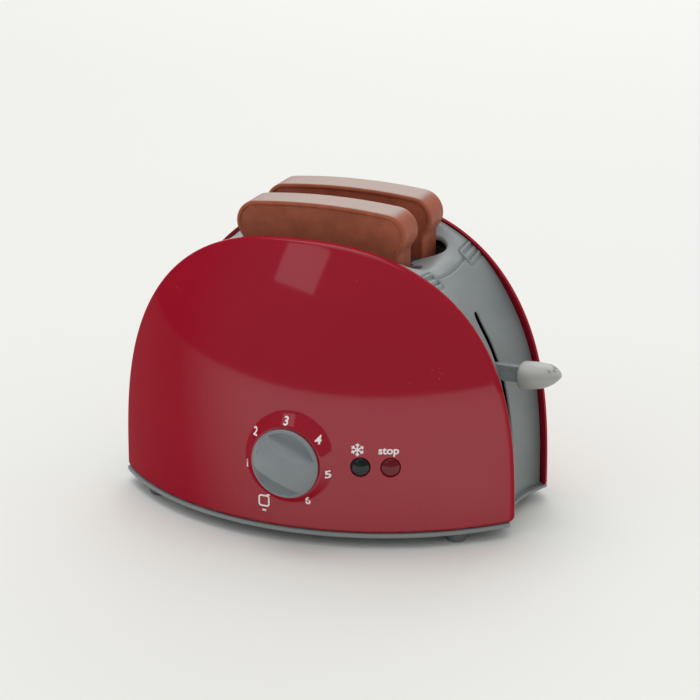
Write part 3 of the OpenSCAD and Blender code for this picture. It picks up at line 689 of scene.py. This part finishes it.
def cover_shape(face, holes, inner):
    """Closed shell of a cover: face, rounded rim, wall and back."""
    shape = Shape()
    loop = cover_outline()
    normal = outward(loop)
    backward = (0, 1, 0)

    def sheet(x, z):
        return np.column_stack([x, -face(x, z), z])

    def back_sheet(x, z):
        return sheet(x, z) + (0, COVER_T, 0)

    profile = [(RIM_R * (1 - math.sin(a)), RIM_R * (1 - math.cos(a)))
               for a in np.radians(np.linspace(0, 90, 8))]
    profile += [(0.0, COVER_T - 0.4), (0.12, COVER_T - 0.12), (0.4, COVER_T)]
    steps = [(loop - normal * inset, depth) for inset, depth in profile]
    first, last = shape.rim(sheet, steps, backward, hole=False)
    front, back = [first], [last]
    for x, z, radius in holes:
        eased = [(radius + 0.15, 0.0), (radius + 0.05, 0.04), (radius, 0.15), (radius, COVER_T)]
        steps = [(round_hole(x, z, r, depth), depth) for r, depth in eased]
        first, last = shape.rim(sheet, steps, backward)
        front.append(first)
        back.append(last)
    shape.fill(sheet, front, inner, 0.45)
    wide = lattice((-BODY_W / 2, COVER_Z), (BODY_W / 2, COVER_Z + COVER_H + 3), 7)
    shape.fill(back_sheet, back, wide, 3, flip=True)
    return shape


def knob_rings():
    """Rings of points round the knob, close together where the cone's edges are."""
    radii = [5, 7, 9.5, 12, 14, 15.2, 15.7, 16.0, 16.3, 16.6, 17.1, 17.8] + list(
        np.arange(18.6, 29.5, 0.8))
    return np.vstack([arc_points((KNOB_X, CONTROL_Z), r, 0, 360 - 360 / 110, 110) for r in radii])


def make_covers(red):
    """Front cover with the holes of its controls, and the plain rear one."""
    wide = lattice((-BODY_W / 2, COVER_Z), (BODY_W / 2, COVER_Z + COVER_H), 3.2)
    near_knob = np.hypot(wide[:, 0] - KNOB_X, wide[:, 1] - CONTROL_Z) < 30.5
    inner = np.vstack([wide[~near_knob], knob_rings()])
    holes = [(KNOB_X, CONTROL_Z, SHAFT_R + 0.4), (DEFROST_X, CONTROL_Z, BUTTON_R + SLIDE_GAP),
             (STOP_X, CONTROL_Z, BUTTON_R + SLIDE_GAP)]
    make_piece("front_cover_skin", cover_shape(front_face, holes, inner), red, "housing",
               ["front_cover"])
    rear = cover_shape(face_y, [], wide).turned(lambda p: p * (-1, -1, 1))
    make_piece("rear_cover_skin", rear, red, "housing", ["rear_cover"])


# ---- Base ----

def base_outline(inset):
    """Outline of the base, anticlockwise from above: bowed front and back, hollowed ends."""
    corner = BODY_W / 2 - BASE_PULL - inset
    radius = FACE_R + BASE_LIP - inset
    turn = math.degrees(math.asin(corner / radius))
    front = arc_points((0, AXIS_Y), radius, -90 - turn, -90 + turn, 160)
    half = -front[-1, 1]
    y = np.linspace(-half, half, 40)[1:-1]
    end = np.column_stack([corner - BASE_HOLLOW * (1 - (y / half) ** 2), y])
    loop = np.vstack([front, end, -front, -end])
    return (np.roll(loop, 1, axis=0) + 2 * loop + np.roll(loop, -1, axis=0)) / 4


def base_shape():
    """Base moulding: thin rim under the covers, deeper tray inside it, pockets for the screws."""
    shape = Shape()

    def level(z):
        return lambda x, y: np.column_stack([x, y, z + 0 * x])

    profile = [(0.4, BASE_Z), (0.12, BASE_Z - 0.12), (0.0, BASE_Z - 0.4), (0.0, RIM_Z + 0.3),
               (0.1, RIM_Z + 0.1), (0.3, RIM_Z), (1.6, RIM_Z), (1.9, RIM_Z - 0.1),
               (2.1, FOOT_TOP + 0.3), (2.4, FOOT_TOP)]
    flats = [base_outline(inset) for inset, _ in profile]
    rings = shape.stack([level(z)(*flat.T) for flat, (_, z) in zip(flats, profile)])
    under = [(rings[-1], flats[-1])]
    screws = [(a * x, b * y) for x, y in COVER_SCREWS for a in (-1, 1) for b in (-1, 1)]
    for centre in screws + BRACKET_SCREWS:
        mouth = arc_points(centre, SCREW_HEAD_R, 0, 345, 24)
        made = shape.add(level(FOOT_TOP)(*mouth.T))
        shape.bridge(shape.add(level(FOOT_TOP + SCREW_POCKET)(*mouth.T)), made)
        under.append((made, mouth))
    spread = lattice((-BODY_W / 2, -FACE_R), (BODY_W / 2, FACE_R), 6)
    shape.fill(level(BASE_Z), [(rings[0], flats[0])], spread, 2)
    shape.fill(level(FOOT_TOP), under, spread, 2, flip=True)
    return shape


# ---- Housing ----

def stadium(length, width, spacing, centre=(0.0, 0.0)):
    """Rounded slot outline, anticlockwise; the length runs along the first axis."""
    r = width / 2
    c = length / 2 - r
    ends = np.vstack([arc_points((c, 0), r, -90, 90, 24), arc_points((-c, 0), r, 90, 270, 24)])
    return even_loop(ends, spacing) + centre


def top_place(x, y):
    """Point of the housing's top over a plan point."""
    return np.column_stack([x, y, top_height(x, y)])


def side_place(end):
    """Points of the housing's right (1) or left (-1) side, from their depth and height."""
    return lambda y, z: np.column_stack([end * side_reach(y, z), y, z])


def edge_y(x, z):
    """Half the depth of the housing's skin before the round along its edge."""
    return half_depth(x, z) - EDGE_ROUND


def top_edges():
    """Front edge of the top, left to right, and its right end, front to rear."""
    x = np.linspace(-SHOULDER_X, SHOULDER_X, 97)
    front = np.column_stack([x, -edge_y(x, crown_height(x, 0 * x + PAST_COVER))])
    across = np.linspace(front[-1, 1], -front[-1, 1], 49)[1:-1]
    return front, np.column_stack([np.full_like(across, SHOULDER_X), across])


def slot_steps(side):
    """Rounded lip of a slot and the start of its wall."""
    base = stadium(SLOT_L, SLOT_W, 0.9, (0.0, side * SLOT_Y))
    normal = outward(base)
    steps = [(base + normal * LIP_R * (1 - math.sin(a)), LIP_R * (1 - math.cos(a)))
             for a in np.radians(np.arange(0, 91, 15))]
    return steps + [(steps[-1][0], LIP_R + LIP_WALL)]


def lever_slot_steps():
    """Eased edge and wall of the lever's slot, from depths and heights."""
    middle = ((LEVER_LOW + LEVER_HIGH) / 2, 0.0)
    base = stadium(LEVER_HIGH - LEVER_LOW, LEVER_SLOT_W, 0.8, middle)[::-1, ::-1]
    normal = outward(base)
    eased = [(0.5, 0), (0.2, 0.08), (0.05, 0.25), (0, 0.5), (0, SLOT_WALL)]
    return [(base + normal * grow, sink) for grow, sink in eased]


def top_lattice():
    """Points over the top: wide apart, and close together at the hinges and the grooves."""
    reach = 40.0
    plan = lattice((-SHOULDER_X, -reach), (SHOULDER_X, reach), 1.9)
    half = HINGE_HALF + 1.4
    offsets = np.array([-1.2, -0.8, -0.5, -0.25, 0, 0.25, 0.5, 0.8, 1.1, 1.5])
    rows = np.arange(-HINGE_Y + 1.2, HINGE_Y - 1.1, 0.9)
    fine = []
    for end in (-1, 1):
        low, high = sorted((end * (HINGE_X + half), end * (HINGE_X - half)))
        fine.append(lattice((low, -reach), (high, -HINGE_Y + 1.4), 0.42))
        fine.append(lattice((low, HINGE_Y - 1.4), (high, reach), 0.42))
        fine.append(np.array([(end * (groove_x(y) + o), y) for y in rows for o in offsets]))
    x, y = np.abs(plan).T
    busy = (np.abs(x - HINGE_X) < HINGE_HALF + 1.9) & (y > HINGE_Y - 1.9)
    busy |= (np.abs(x - GROOVE_X) < 2.2) & (y <= HINGE_Y - 1.2)
    return np.vstack([plan[~busy]] + fine)


def side_panel(shape, end, top_ids):
    """One side, from the shoulder down to the base; top_ids run from the front to the rear.

    Returns the numbers of its front edge, going down, and of its rear edge, going up.
    """
    place, flip = side_place(end), end < 0
    top_flat = np.array(shape.points)[top_ids][:, 1:]
    height = np.linspace(top_flat[0, 1], BASE_Z, 70)[1:]
    depth = edge_y(side_reach(0 * height + PAST_COVER, height), height)
    foot = np.linspace(-depth[-1], depth[-1], 25)[1:-1]
    front = np.column_stack([-depth, height])
    lower = np.vstack([front, np.column_stack([foot, np.full_like(foot, BASE_Z)]),
                       front[::-1] * (-1, 1)])
    ids = shape.lifted(place, lower, flip)
    loops = [(ids + top_ids[::-1], np.vstack([lower, top_flat[::-1]]))]
    if end > 0:
        loops.append(shape.rim(place, lever_slot_steps(), (-1, 0, 0))[0])
    shape.fill(place, loops, lattice((-40, BASE_Z), (40, 110), 2.4), 0.7, flip)
    return ids[:len(height)], ids[-len(height):]


def edge_strip(shape, numbers, side):
    """Small round along a cover-side edge of the housing, then the flange going in behind it."""
    start, out = np.array(shape.points)[numbers], np.array(shape.normals)[numbers]
    last = numbers
    for degrees, sink in [(30, 0), (60, 0), (90, 0), (90, EDGE_FLANGE)]:
        turn = math.radians(degrees)
        moved = start + np.array([0, side * EDGE_ROUND * math.sin(turn), 0])
        made = shape.add(moved - out * (EDGE_ROUND * (1 - math.cos(turn)) + sink))
        shape.bridge(*((last, made) if side < 0 else (made, last)), closed=False)
        last = made


def housing_shape():
    """Arch between the covers: top with the bowl and the slots, and two hollowed sides."""
    shape = Shape()
    front, right = top_edges()
    outer = np.vstack([front, right, front[::-1] * (1, -1), right[::-1] * (-1, 1)])
    ids = shape.lifted(top_place, outer)
    n, m = len(front), len(right)
    front_ids, right_ids = ids[:n], ids[n - 1:n + m + 1]
    rear_ids, left_ids = ids[n + m:2 * n + m], ids[2 * n + m - 1:] + ids[:1]
    loops = [(ids, outer)]
    for side in (-1, 1):
        loops.append(shape.rim(top_place, slot_steps(side), (0, 0, -1))[0])
    shape.fill(top_place, loops, top_lattice(), 0.2)
    right_front, right_rear = side_panel(shape, 1, right_ids)
    left_front, left_rear = side_panel(shape, -1, left_ids[::-1])
    edge_strip(shape, right_front[::-1] + front_ids[::-1] + left_front, -1)
    edge_strip(shape, right_rear + rear_ids + left_rear[::-1], 1)
    return shape


# ---- Slices of toast ----

def toast_outline():
    """Outline of a slice, anticlockwise: broad crown with round ends over a narrower body."""
    half = TOAST_W / 2
    neck = TOAST_NECK / 2
    centre = (half - CROWN_R, TOAST_H - CROWN_RISE - CROWN_R)
    foot = arc_points((neck - TOAST_FOOT_R, TOAST_FOOT_R), TOAST_FOOT_R, -90, 0, 10)
    low = -math.degrees(math.acos((neck - centre[0]) / CROWN_R))
    ear = arc_points(centre, CROWN_R, low, 77, 30)
    waist = np.array([[neck, 20.0], [neck, ear[0, 1] - 0.8]])
    top_x = np.linspace(ear[-1, 0], 0, 16)[1:]
    crest = TOAST_H - (TOAST_H - ear[-1, 1]) * (top_x / ear[-1, 0]) ** 2
    right = np.vstack([foot, waist, ear, np.column_stack([top_x, crest])])
    left = right[::-1][1:] * (-1, 1)
    return even_loop(np.vstack([right, left]), 0.8)


def toast_shape(y_middle):
    """A slice with rounded crust edges and faces sunk inside the crust."""
    shape = Shape()
    loop = toast_outline()
    for _ in range(3):
        loop = (np.roll(loop, 1, axis=0) + 2 * loop + np.roll(loop, -1, axis=0)) / 4
    normal = outward(loop)
    half = TOAST_T / 2
    land = TOAST_ROUND + CRUST_LAND
    profile = [(land + 1.3, half - CRUST_DEPTH), (land + 0.85, half - CRUST_DEPTH + 0.03),
               (land + 0.6, half - CRUST_DEPTH + 0.15), (land + 0.4, half - CRUST_DEPTH * 0.45),
               (land + 0.25, half - 0.12), (land + 0.1, half - 0.02), (land, half)]
    profile += [(TOAST_ROUND * (1 - math.sin(a)), half - TOAST_ROUND * (1 - math.cos(a)))
                for a in np.radians(np.linspace(0, 90, 9))]
    profile += [(0.0, half - TOAST_ROUND - 2.5), (0.0, 0.0)]
    profile += [(inset, -depth) for inset, depth in profile[-2::-1]]

    def place(x, z, depth):
        return np.column_stack([x + TOAST_X, y_middle - depth + 0 * x, z + TOAST_Z])

    rings = shape.stack([place(*(loop - normal * inset).T, depth) for inset, depth in profile])
    inset, depth = profile[0]
    face = loop - normal * inset
    inner = lattice((-TOAST_W / 2, 0), (TOAST_W / 2, TOAST_H), 3.0)
    shape.fill(lambda x, z: place(x, z, depth), [(rings[0], face)], inner, 1.2)
    shape.fill(lambda x, z: place(x, z, -depth), [(rings[-1], face)], inner, 1.2, flip=True)
    return shape


# ---- Knob ----

def knob_height(x, y):
    """Height of the knob over its back, x along the pointer: dome with two finger scoops."""
    r = np.hypot(x, y)
    dome_edge = KNOB_R - 0.5
    sphere = (dome_edge ** 2 + KNOB_DOME ** 2) / (2 * KNOB_DOME)
    dome = KNOB_RIM + KNOB_DOME - sphere + np.sqrt(np.maximum(sphere ** 2 - r * r, 0))
    outside = np.abs(y) - (BAR_HALF + SCOOP_R - np.sqrt(SCOOP_R ** 2 - x * x))
    cut = SCOOP_DEPTH * (1 - (1 - np.clip(outside / SCOOP_RUN, 0, 1)) ** 2)
    bowl = BOWL_DEPTH * (1 - (1 - np.clip((KNOB_R - 1.0 - r) / BOWL_RUN, 0, 1)) ** 2)
    floor = soft_max(dome - cut, KNOB_RIM + 0.3 - bowl, 0.5)
    ridge = 0.2 * np.exp(-(outside / 0.75) ** 2) * ease((KNOB_R - 1.6 - r) / 2)
    dot = -0.35 * ease((0.95 - np.hypot(x - DOT_X, y)) / 0.25)
    return np.minimum(dome, floor) + ridge + dot


def knob_shape():
    """Knob seen from the front, turned so that the pointer stands at its rest angle."""
    shape = Shape()
    turn = math.radians(POINTER)
    c, s = math.cos(turn), math.sin(turn)

    def stand(a, b, height):
        return np.column_stack([KNOB_X + c * a - s * b, -KNOB_BACK - height + 0 * a,
                                CONTROL_Z + s * a + c * b])

    def dome(a, b):
        return stand(a, b, knob_height(a, b))

    def circle(radius):
        return arc_points((0, 0), radius, 0, 357, 120)

    face = KNOB_R - 0.6
    top = shape.lifted(dome, circle(face))
    wall = [(face + 0.03, KNOB_RIM - 0.12), (KNOB_R - 0.4, KNOB_RIM),
            (KNOB_R - 0.1, KNOB_RIM - 0.22), (KNOB_R, KNOB_RIM - 0.6),
            (KNOB_R, 0.25), (KNOB_R - 0.2, 0.0), (KNOB_R - 2, 0.0)]
    rings = shape.stack([stand(*circle(radius).T, height) for radius, height in wall])
    shape.bridge(top, rings[0])
    shape.close(rings[-1], stand(*np.zeros((3, 1)))[0], (0, 1, 0), flip=True)
    shape.fill(dome, [(top, circle(face))], lattice((-face, -face), (face, face), 0.45), 0.3)
    return shape


# ---- Buttons and grip ----

def on_face(x):
    """Point, right, outward and up of the front face at a button."""
    turn = math.asin(x / (FACE_R - float(lean(CONTROL_Z))))
    point = np.array([x, -float(face_y(x, CONTROL_Z)), CONTROL_Z])
    right = np.array([math.cos(turn), math.sin(turn), 0])
    out = np.array([math.sin(turn), -math.cos(turn), 0])
    return point, right, out, np.array([0.0, 0.0, 1.0])


def turned_part(point, right, out, up, profile):
    """Lathed piece: the profile is radius and height along out, from the tip down."""
    shape = Shape()
    around = np.linspace(0, 2 * math.pi, 48, endpoint=False)
    spokes = np.outer(np.cos(around), right) + np.outer(np.sin(around), up)
    rings = shape.stack([point + out * height + spokes * radius for radius, height in profile])
    shape.close(rings[0], point + out * (profile[0][1] + 0.004), out)
    shape.close(rings[-1], point + out * profile[-1][1], -out, flip=True)
    return shape


def button_shape(x):
    """Domed push button with its flange behind the cover."""
    dome_r = (BUTTON_R ** 2 + BUTTON_DOME ** 2) / (2 * BUTTON_DOME)
    edge = math.asin(0.94 * BUTTON_R / dome_r)
    profile = [(dome_r * math.sin(a), BUTTON_DOME - dome_r * (1 - math.cos(a)))
               for a in np.linspace(edge * 0.05, edge, 14)]
    last = profile[-1][1]
    profile += [(BUTTON_R - 0.1, last - 0.2), (BUTTON_R, last - 0.55), (BUTTON_R, -COVER_T - 0.2),
                (BUTTON_R + 1.1, -COVER_T - 0.2), (BUTTON_R + 1.1, -COVER_T - 1.2),
                (1.6, -COVER_T - 1.2), (1.6, -COVER_T - 10.0)]
    return turned_part(*on_face(x), profile)


def grip_ring(share, around):
    """Ring of points round the grip; share is 0 at its root and 1 at its tip."""
    c, s = np.cos(around), np.sin(around)
    tip_x = BODY_W / 2 + GRIP_REACH
    x = tip_x - GRIP_L + GRIP_L * share
    root_round = 0.55 * max(0.0, 1 - share / 0.05) ** 2
    if share > GRIP_BROAD:
        narrow = ((share - GRIP_BROAD) / (1 - GRIP_BROAD)) ** 2.2
    else:
        narrow = ((GRIP_BROAD - share) / 0.62) ** 2
    half_w = GRIP_W / 2 * (1 - narrow) ** 0.5 - root_round
    nose = (1 - share ** 9) ** 0.5
    middle = STEM_Z + 1.1 * share ** 3
    top = (GRIP_H / 2 - 1.1 * share ** 3 - 3.0 * share ** 6) * nose - root_round
    low = (GRIP_H / 2 + 1.1 * share ** 3 - 4.6 * share ** 2.6) * nose - root_round
    y = half_w * np.sign(c) * np.abs(c) ** 0.82
    z = np.where(s > 0, top * np.abs(s) ** 0.85, -low * np.abs(s) ** 0.8) + middle
    for back, dimple_y in ((5.4, 3.4), (3.3, 1.5), (2.7, -1.3), (4.1, -3.9)):
        gap = np.hypot(x - tip_x + back, y - dimple_y)
        z = z - np.where(s > 0, DIMPLE_DEPTH * np.exp(-(gap / DIMPLE_R) ** 4), 0)
    return np.column_stack([np.full_like(y, x), y, z])


def grip_shape():
    """Finger grip: broad rounded root, thinner toward the rounded tip, dimples near the tip."""
    shape = Shape()
    around = np.linspace(0, 2 * math.pi, 144, endpoint=False)
    shares = np.concatenate([
        [0.0, 0.012, 0.03, 0.06], np.linspace(0.1, 0.8, 24),
        1 - 0.2 * np.cos(np.linspace(0.0, math.pi / 2, 26))[1:]])
    sections = [grip_ring(min(share, 0.9995), around) for share in shares]
    rings = shape.stack(sections, flip=True)
    shape.close(rings[-1], sections[-1].mean(axis=0) + (0.02, 0, 0), (1, 0, 0))
    shape.close(rings[0], sections[0].mean(axis=0), (-1, 0, 0), flip=True)
    return shape


# ---- Printed marks ----

def mark_from_mesh(points, faces):
    """Flat mark on the front cover: points are (x, z), laid just over the face."""
    shape = Shape()
    lift = 0.035
    shape.lifted(lambda a, b: np.column_stack([a, -front_face(a, b) - lift, b]), points)
    shape.faces = [tuple(f) for f in faces]
    return shape


def lettering(body, size):
    """Flat triangles of a word or number in Blender's own font, centred, height in millimetres."""
    curve = bpy.data.curves.new("mark", "FONT")
    curve.body = body
    curve.align_x = "CENTER"
    curve.align_y = "CENTER"
    curve.size = size
    curve.offset = 0.026 * size
    holder = bpy.data.objects.new("mark", curve)
    bpy.context.scene.collection.objects.link(holder)
    bpy.context.view_layer.update()
    mesh = holder.evaluated_get(bpy.context.evaluated_depsgraph_get()).to_mesh()
    work = bmesh.new()
    work.from_mesh(mesh)
    bpy.data.objects.remove(holder)
    bmesh.ops.triangulate(work, faces=work.faces[:])
    for _ in range(3):
        long = [e for e in work.edges if e.calc_length() > 0.7]
        if long:
            bmesh.ops.subdivide_edges(work, edges=long, cuts=1)
            bmesh.ops.triangulate(work, faces=work.faces[:])
    work.verts.index_update()
    points = np.array([v.co[:2] for v in work.verts])
    faces = [[v.index for v in f.verts] for f in work.faces]
    work.free()
    return points, faces


def stroke(points, width):
    """Flat ribbon along an open polyline."""
    points = np.array(points, float)
    along = np.gradient(points, axis=0)
    along /= np.hypot(*along.T)[:, None]
    normal = np.column_stack([-along[:, 1], along[:, 0]]) * width / 2
    n = len(points)
    flat = np.vstack([points - normal, points + normal])
    return flat, [(i, i + 1, n + i + 1, n + i) for i in range(n - 1)]


def joined(parts):
    """Several flat meshes as one."""
    points, faces = [], []
    for part_points, part_faces in parts:
        first = sum(len(p) for p in points)
        points.append(part_points)
        faces += [tuple(first + k for k in face) for face in part_faces]
    return np.vstack(points), faces


def snowflake(size):
    """Six arms with two short side branches each."""
    parts = []
    for k in range(6):
        turn = math.radians(60 * k + 30)
        c, s = math.cos(turn), math.sin(turn)
        spin = np.array([[c, s], [-s, c]])
        parts.append(stroke(np.linspace((0, 0), (size, 0), 6) @ spin, 0.56))
        for side in (-1, 1):
            branch = np.linspace((size * 0.55, 0), (size * 0.82, side * size * 0.27), 3)
            parts.append(stroke(branch @ spin, 0.5))
    return joined(parts)


def slice_icon(size):
    """Outline of a slice of bread with a small tick over it and a short bar under it."""
    h = size / 2
    r = size * 0.22
    corners = [((h - r, h - r), 0), ((-h + r, h - r), 90), ((-h + r, -h + r), 180),
               ((h - r, -h + r), 270)]
    ring = np.vstack([arc_points(c, r, a, a + 90, 8) for c, a in corners])
    ring = np.vstack([ring, ring[:2]])
    tick = [(h * 0.55, h * 1.15), (h * 1.2, h * 1.3)]
    bar = [(-h * 0.35, -h * 1.85), (h * 0.45, -h * 1.85)]
    return joined([stroke(ring, 0.72), stroke(tick, 0.8), stroke(bar, 0.8)])


def make_marks(white):
    """Numbers and slice icon round the knob, snowflake and word over the buttons."""
    def put(name, flat, x, z):
        points, faces = flat
        make_piece(name, mark_from_mesh(points + (x, z), faces), white, "housing")

    ring_x, ring_z, icon_r, low_z = 18.9, 18.7, 21.9, CONTROL_Z - 0.4
    for number, angle in enumerate(range(190, -61, -50), start=1):
        turn = math.radians(angle)
        put(f"numeral_{number}", lettering(str(number), 4.9),
            KNOB_X - 0.2 + ring_x * math.cos(turn), low_z + ring_z * math.sin(turn))
    turn = math.radians(240)
    put("slice_mark", slice_icon(4.6), KNOB_X + icon_r * math.cos(turn),
        low_z + icon_r * math.sin(turn))
    put("snowflake_mark", snowflake(2.8), DEFROST_X - 1.3, CONTROL_Z + 7.7)
    put("stop_word", lettering("stop", 4.6), STOP_X - 0.9, CONTROL_Z + 7.4)


# ---- CAD nodes that stay ----

def soften(node):
    """Rounds a CAD node's edges by half a millimetre and smooths its shading."""
    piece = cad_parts[node]
    piece.data.polygons.foreach_set("use_smooth", [True] * len(piece.data.polygons))
    weld = piece.modifiers.new("weld", "WELD")
    weld.merge_threshold = 0.00001
    flat = piece.modifiers.new("flat", "DECIMATE")
    flat.decimate_type = "DISSOLVE"
    flat.angle_limit = math.radians(0.6)
    round_off = piece.modifiers.new("round_off", "BEVEL")
    round_off.width = 0.5 * MM
    round_off.segments = 2
    round_off.limit_method = "ANGLE"
    round_off.angle_limit = math.radians(30)
    round_off.harden_normals = True
    shade = piece.modifiers.new("shade", "WEIGHTED_NORMAL")
    shade.keep_sharp = True


def dress_node(node, material):
    """Gives a CAD node that stays its material."""
    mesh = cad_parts[node].data
    mesh.materials.clear()
    mesh.materials.append(material)


# ---- Studio ----

def lamp(name, place, aim, size, power):
    """Soft area lamp; places in metres about the middle of the body."""
    data = bpy.data.lights.new(name, "AREA")
    data.shape = "RECTANGLE"
    data.size, data.size_y = size
    data.energy = power
    holder = bpy.data.objects.new(name, data)
    holder.location = place
    holder.rotation_euler = (Vector(aim) - Vector(place)).to_track_quat("-Z", "Y").to_euler()
    bpy.context.scene.collection.objects.link(holder)


def make_floor():
    """Large pale table top."""
    material, paint = new_paint("pale_floor")
    cloud = paint.noise(2.0, 2.0)
    grain = paint.noise(900.0, 2.0)
    base = paint.mix(cloud, rgb(0.80, 0.805, 0.775), rgb(0.83, 0.835, 0.80))
    paint.surface(Base_Color=base, Roughness=grain * 0.1 + 0.7, Normal=paint.bump(grain, 0.00003))
    mesh = bpy.data.meshes.new("floor")
    reach = 4.0
    mesh.from_pydata([(-reach, -reach, 0), (reach, -reach, 0), (reach, reach, 0),
                      (-reach, reach, 0)], [], [(0, 1, 2, 3)])
    mesh.materials.append(material)
    floor = bpy.data.objects.new("floor", mesh)
    bpy.context.scene.collection.objects.link(floor)


def make_world():
    """Dim room in front of the toy, and the pale backdrop behind it."""
    world = bpy.data.worlds.new("studio")
    bpy.context.scene.world = world
    paint = Paint(world)
    direction = paint.node("TexCoord", output=0)
    behind = paint.node("SeparateXYZ", {}, {"Vector": direction}, output=1).between(0.45, 0.8)
    camera, glossy, clear = (paint.node("LightPath", output=name) for name in (
        "Is Camera Ray", "Is Glossy Ray", "Is Transmission Ray"))
    share = camera + (glossy + clear) * behind
    dark_room = paint.mix(glossy, rgb(0.68, 0.68, 0.675), rgb(0.13, 0.13, 0.135))
    colour = paint.mix(share, dark_room, rgb(0.845, 0.85, 0.82))
    glow = paint.node("Background", {}, {"Color": colour, "Strength": 1.0})
    paint.node("OutputWorld", {}, {"Surface": glow})


def make_lamps():
    """Soft light from high behind, a broad overhead, and a weak softbox in front."""
    sun = bpy.data.lights.new("soft_sun", "SUN")
    sun.energy = 0.78
    sun.angle = math.radians(50)
    holder = bpy.data.objects.new("soft_sun", sun)
    holder.rotation_euler = Vector((-0.25, 0.30, 0.9)).to_track_quat("Z", "Y").to_euler()
    bpy.context.scene.collection.objects.link(holder)
    lamp("overhead", (-0.1, -0.1, 1.3), (0.0, 0.0, 0.05), (1.2, 1.0), 1.9)
    lamp("back_glow", (-0.35, 1.9, 1.0), (0.0, 0.0, 0.1), (1.6, 0.8), 6.2)
    lamp("front_softbox", (-0.55, -1.25, 1.15), (0.0, 0.0, 0.06), (0.6, 0.5), 0.6)


def make_camera():
    """Camera at the photograph's viewing angle."""
    azimuth, elevation = math.radians(22.37), math.radians(18.61)
    distance, target_right, target_z = 1154.8, 6.473, 65.8
    focal_px, picture_px = 2600.6, 700
    right = np.array([math.cos(azimuth), math.sin(azimuth), 0])
    back = np.array([right[1] * math.cos(elevation), -right[0] * math.cos(elevation),
                     math.sin(elevation)])
    target = target_right * right + (0, 0, target_z)
    data = bpy.data.cameras.new("camera")
    data.sensor_width = 36
    data.lens = data.sensor_width * focal_px / picture_px
    data.clip_start, data.clip_end = 0.05, 50
    camera = bpy.data.objects.new("camera", data)
    camera.location = Vector((target + back * distance - MIDDLE) * MM)
    camera.rotation_euler = (-Vector(back)).to_track_quat("-Z", "Y").to_euler()
    bpy.context.scene.collection.objects.link(camera)
    bpy.context.scene.camera = camera


# ---- The toaster ----

red = glossy_cover_red()
housing_grey = satin_plastic("housing_grey_satin", (0.222, 0.252, 0.255), 0.05)
base_grey = satin_plastic("base_grey_satin", (0.230, 0.255, 0.258), 0.05)
knob_grey = satin_plastic("knob_grey_satin", (0.235, 0.268, 0.280), 0.04, rough=0.36)
grip_grey = satin_plastic("grip_light_satin", (0.365, 0.372, 0.352), 0.04, rough=0.38)
foot_grey = satin_plastic("foot_grey_satin", (0.12, 0.135, 0.138), 0.06, rough=0.55)
inner_dark = satin_plastic("inner_dark_satin", (0.035, 0.037, 0.040), 0.10, rough=0.5)
acetal = satin_plastic("acetal_cream_satin", (0.62, 0.60, 0.52), 0.04, rough=0.4)
brown = toast_plastic()
dark_button = glossy_button("defrost_gloss", (0.006, 0.008, 0.009), (0.03, 0.04, 0.045))
red_button = glossy_button("stop_gloss", (0.10, 0.004, 0.010), (0.26, 0.02, 0.035))
white = printed_white()
steel = zinc_steel()

make_covers(red)
for name, shape, material, body, slot, node in (
    ("housing_skin", housing_shape(), housing_grey, "housing", "housing_grey", "core_arch"),
    ("front_slice_moulding", toast_shape(-SLOT_Y), brown, "front_slice", "toast_brown",
     "toast_front"),
    ("rear_slice_moulding", toast_shape(SLOT_Y), brown, "rear_slice", "toast_brown",
     "toast_rear"),
    ("knob_moulding", knob_shape(), knob_grey, "browning_knob", "trim_grey", "knob"),
    ("defrost_dome", button_shape(DEFROST_X), dark_button, "defrost_key", "button_dark",
     "defrost_button"),
    ("stop_dome", button_shape(STOP_X), red_button, "stop_key", "button_red", "stop_button"),
    ("finger_grip", grip_shape(), grip_grey, "carriage", "grip_grey", "lever_grip"),
    ("base_tray", base_shape(), base_grey, "housing", "housing_grey", "base_plate"),
):
    make_piece(name, shape, material, body, [node])
make_marks(white)

soften("feet")
soften("lever_stem")
for node, material in {
    "feet": foot_grey, "toast_guide": inner_dark, "guide_rods": steel,
    "lift_springs": steel, "carriage": inner_dark, "lever_stem": housing_grey,
    "lever_screw": steel, "knob_shaft": acetal, "knob_clip": steel, "click_spring": steel,
    "control_bracket": inner_dark, "defrost_spring": steel, "stop_spring": steel,
    "catch": acetal, "catch_pin": steel, "base_screws": steel, "guide_screws": steel,
}.items():
    dress_node(node, material)

make_floor()
make_world()
make_lamps()
make_camera()

view = bpy.context.scene.view_settings
view.view_transform = "Standard"
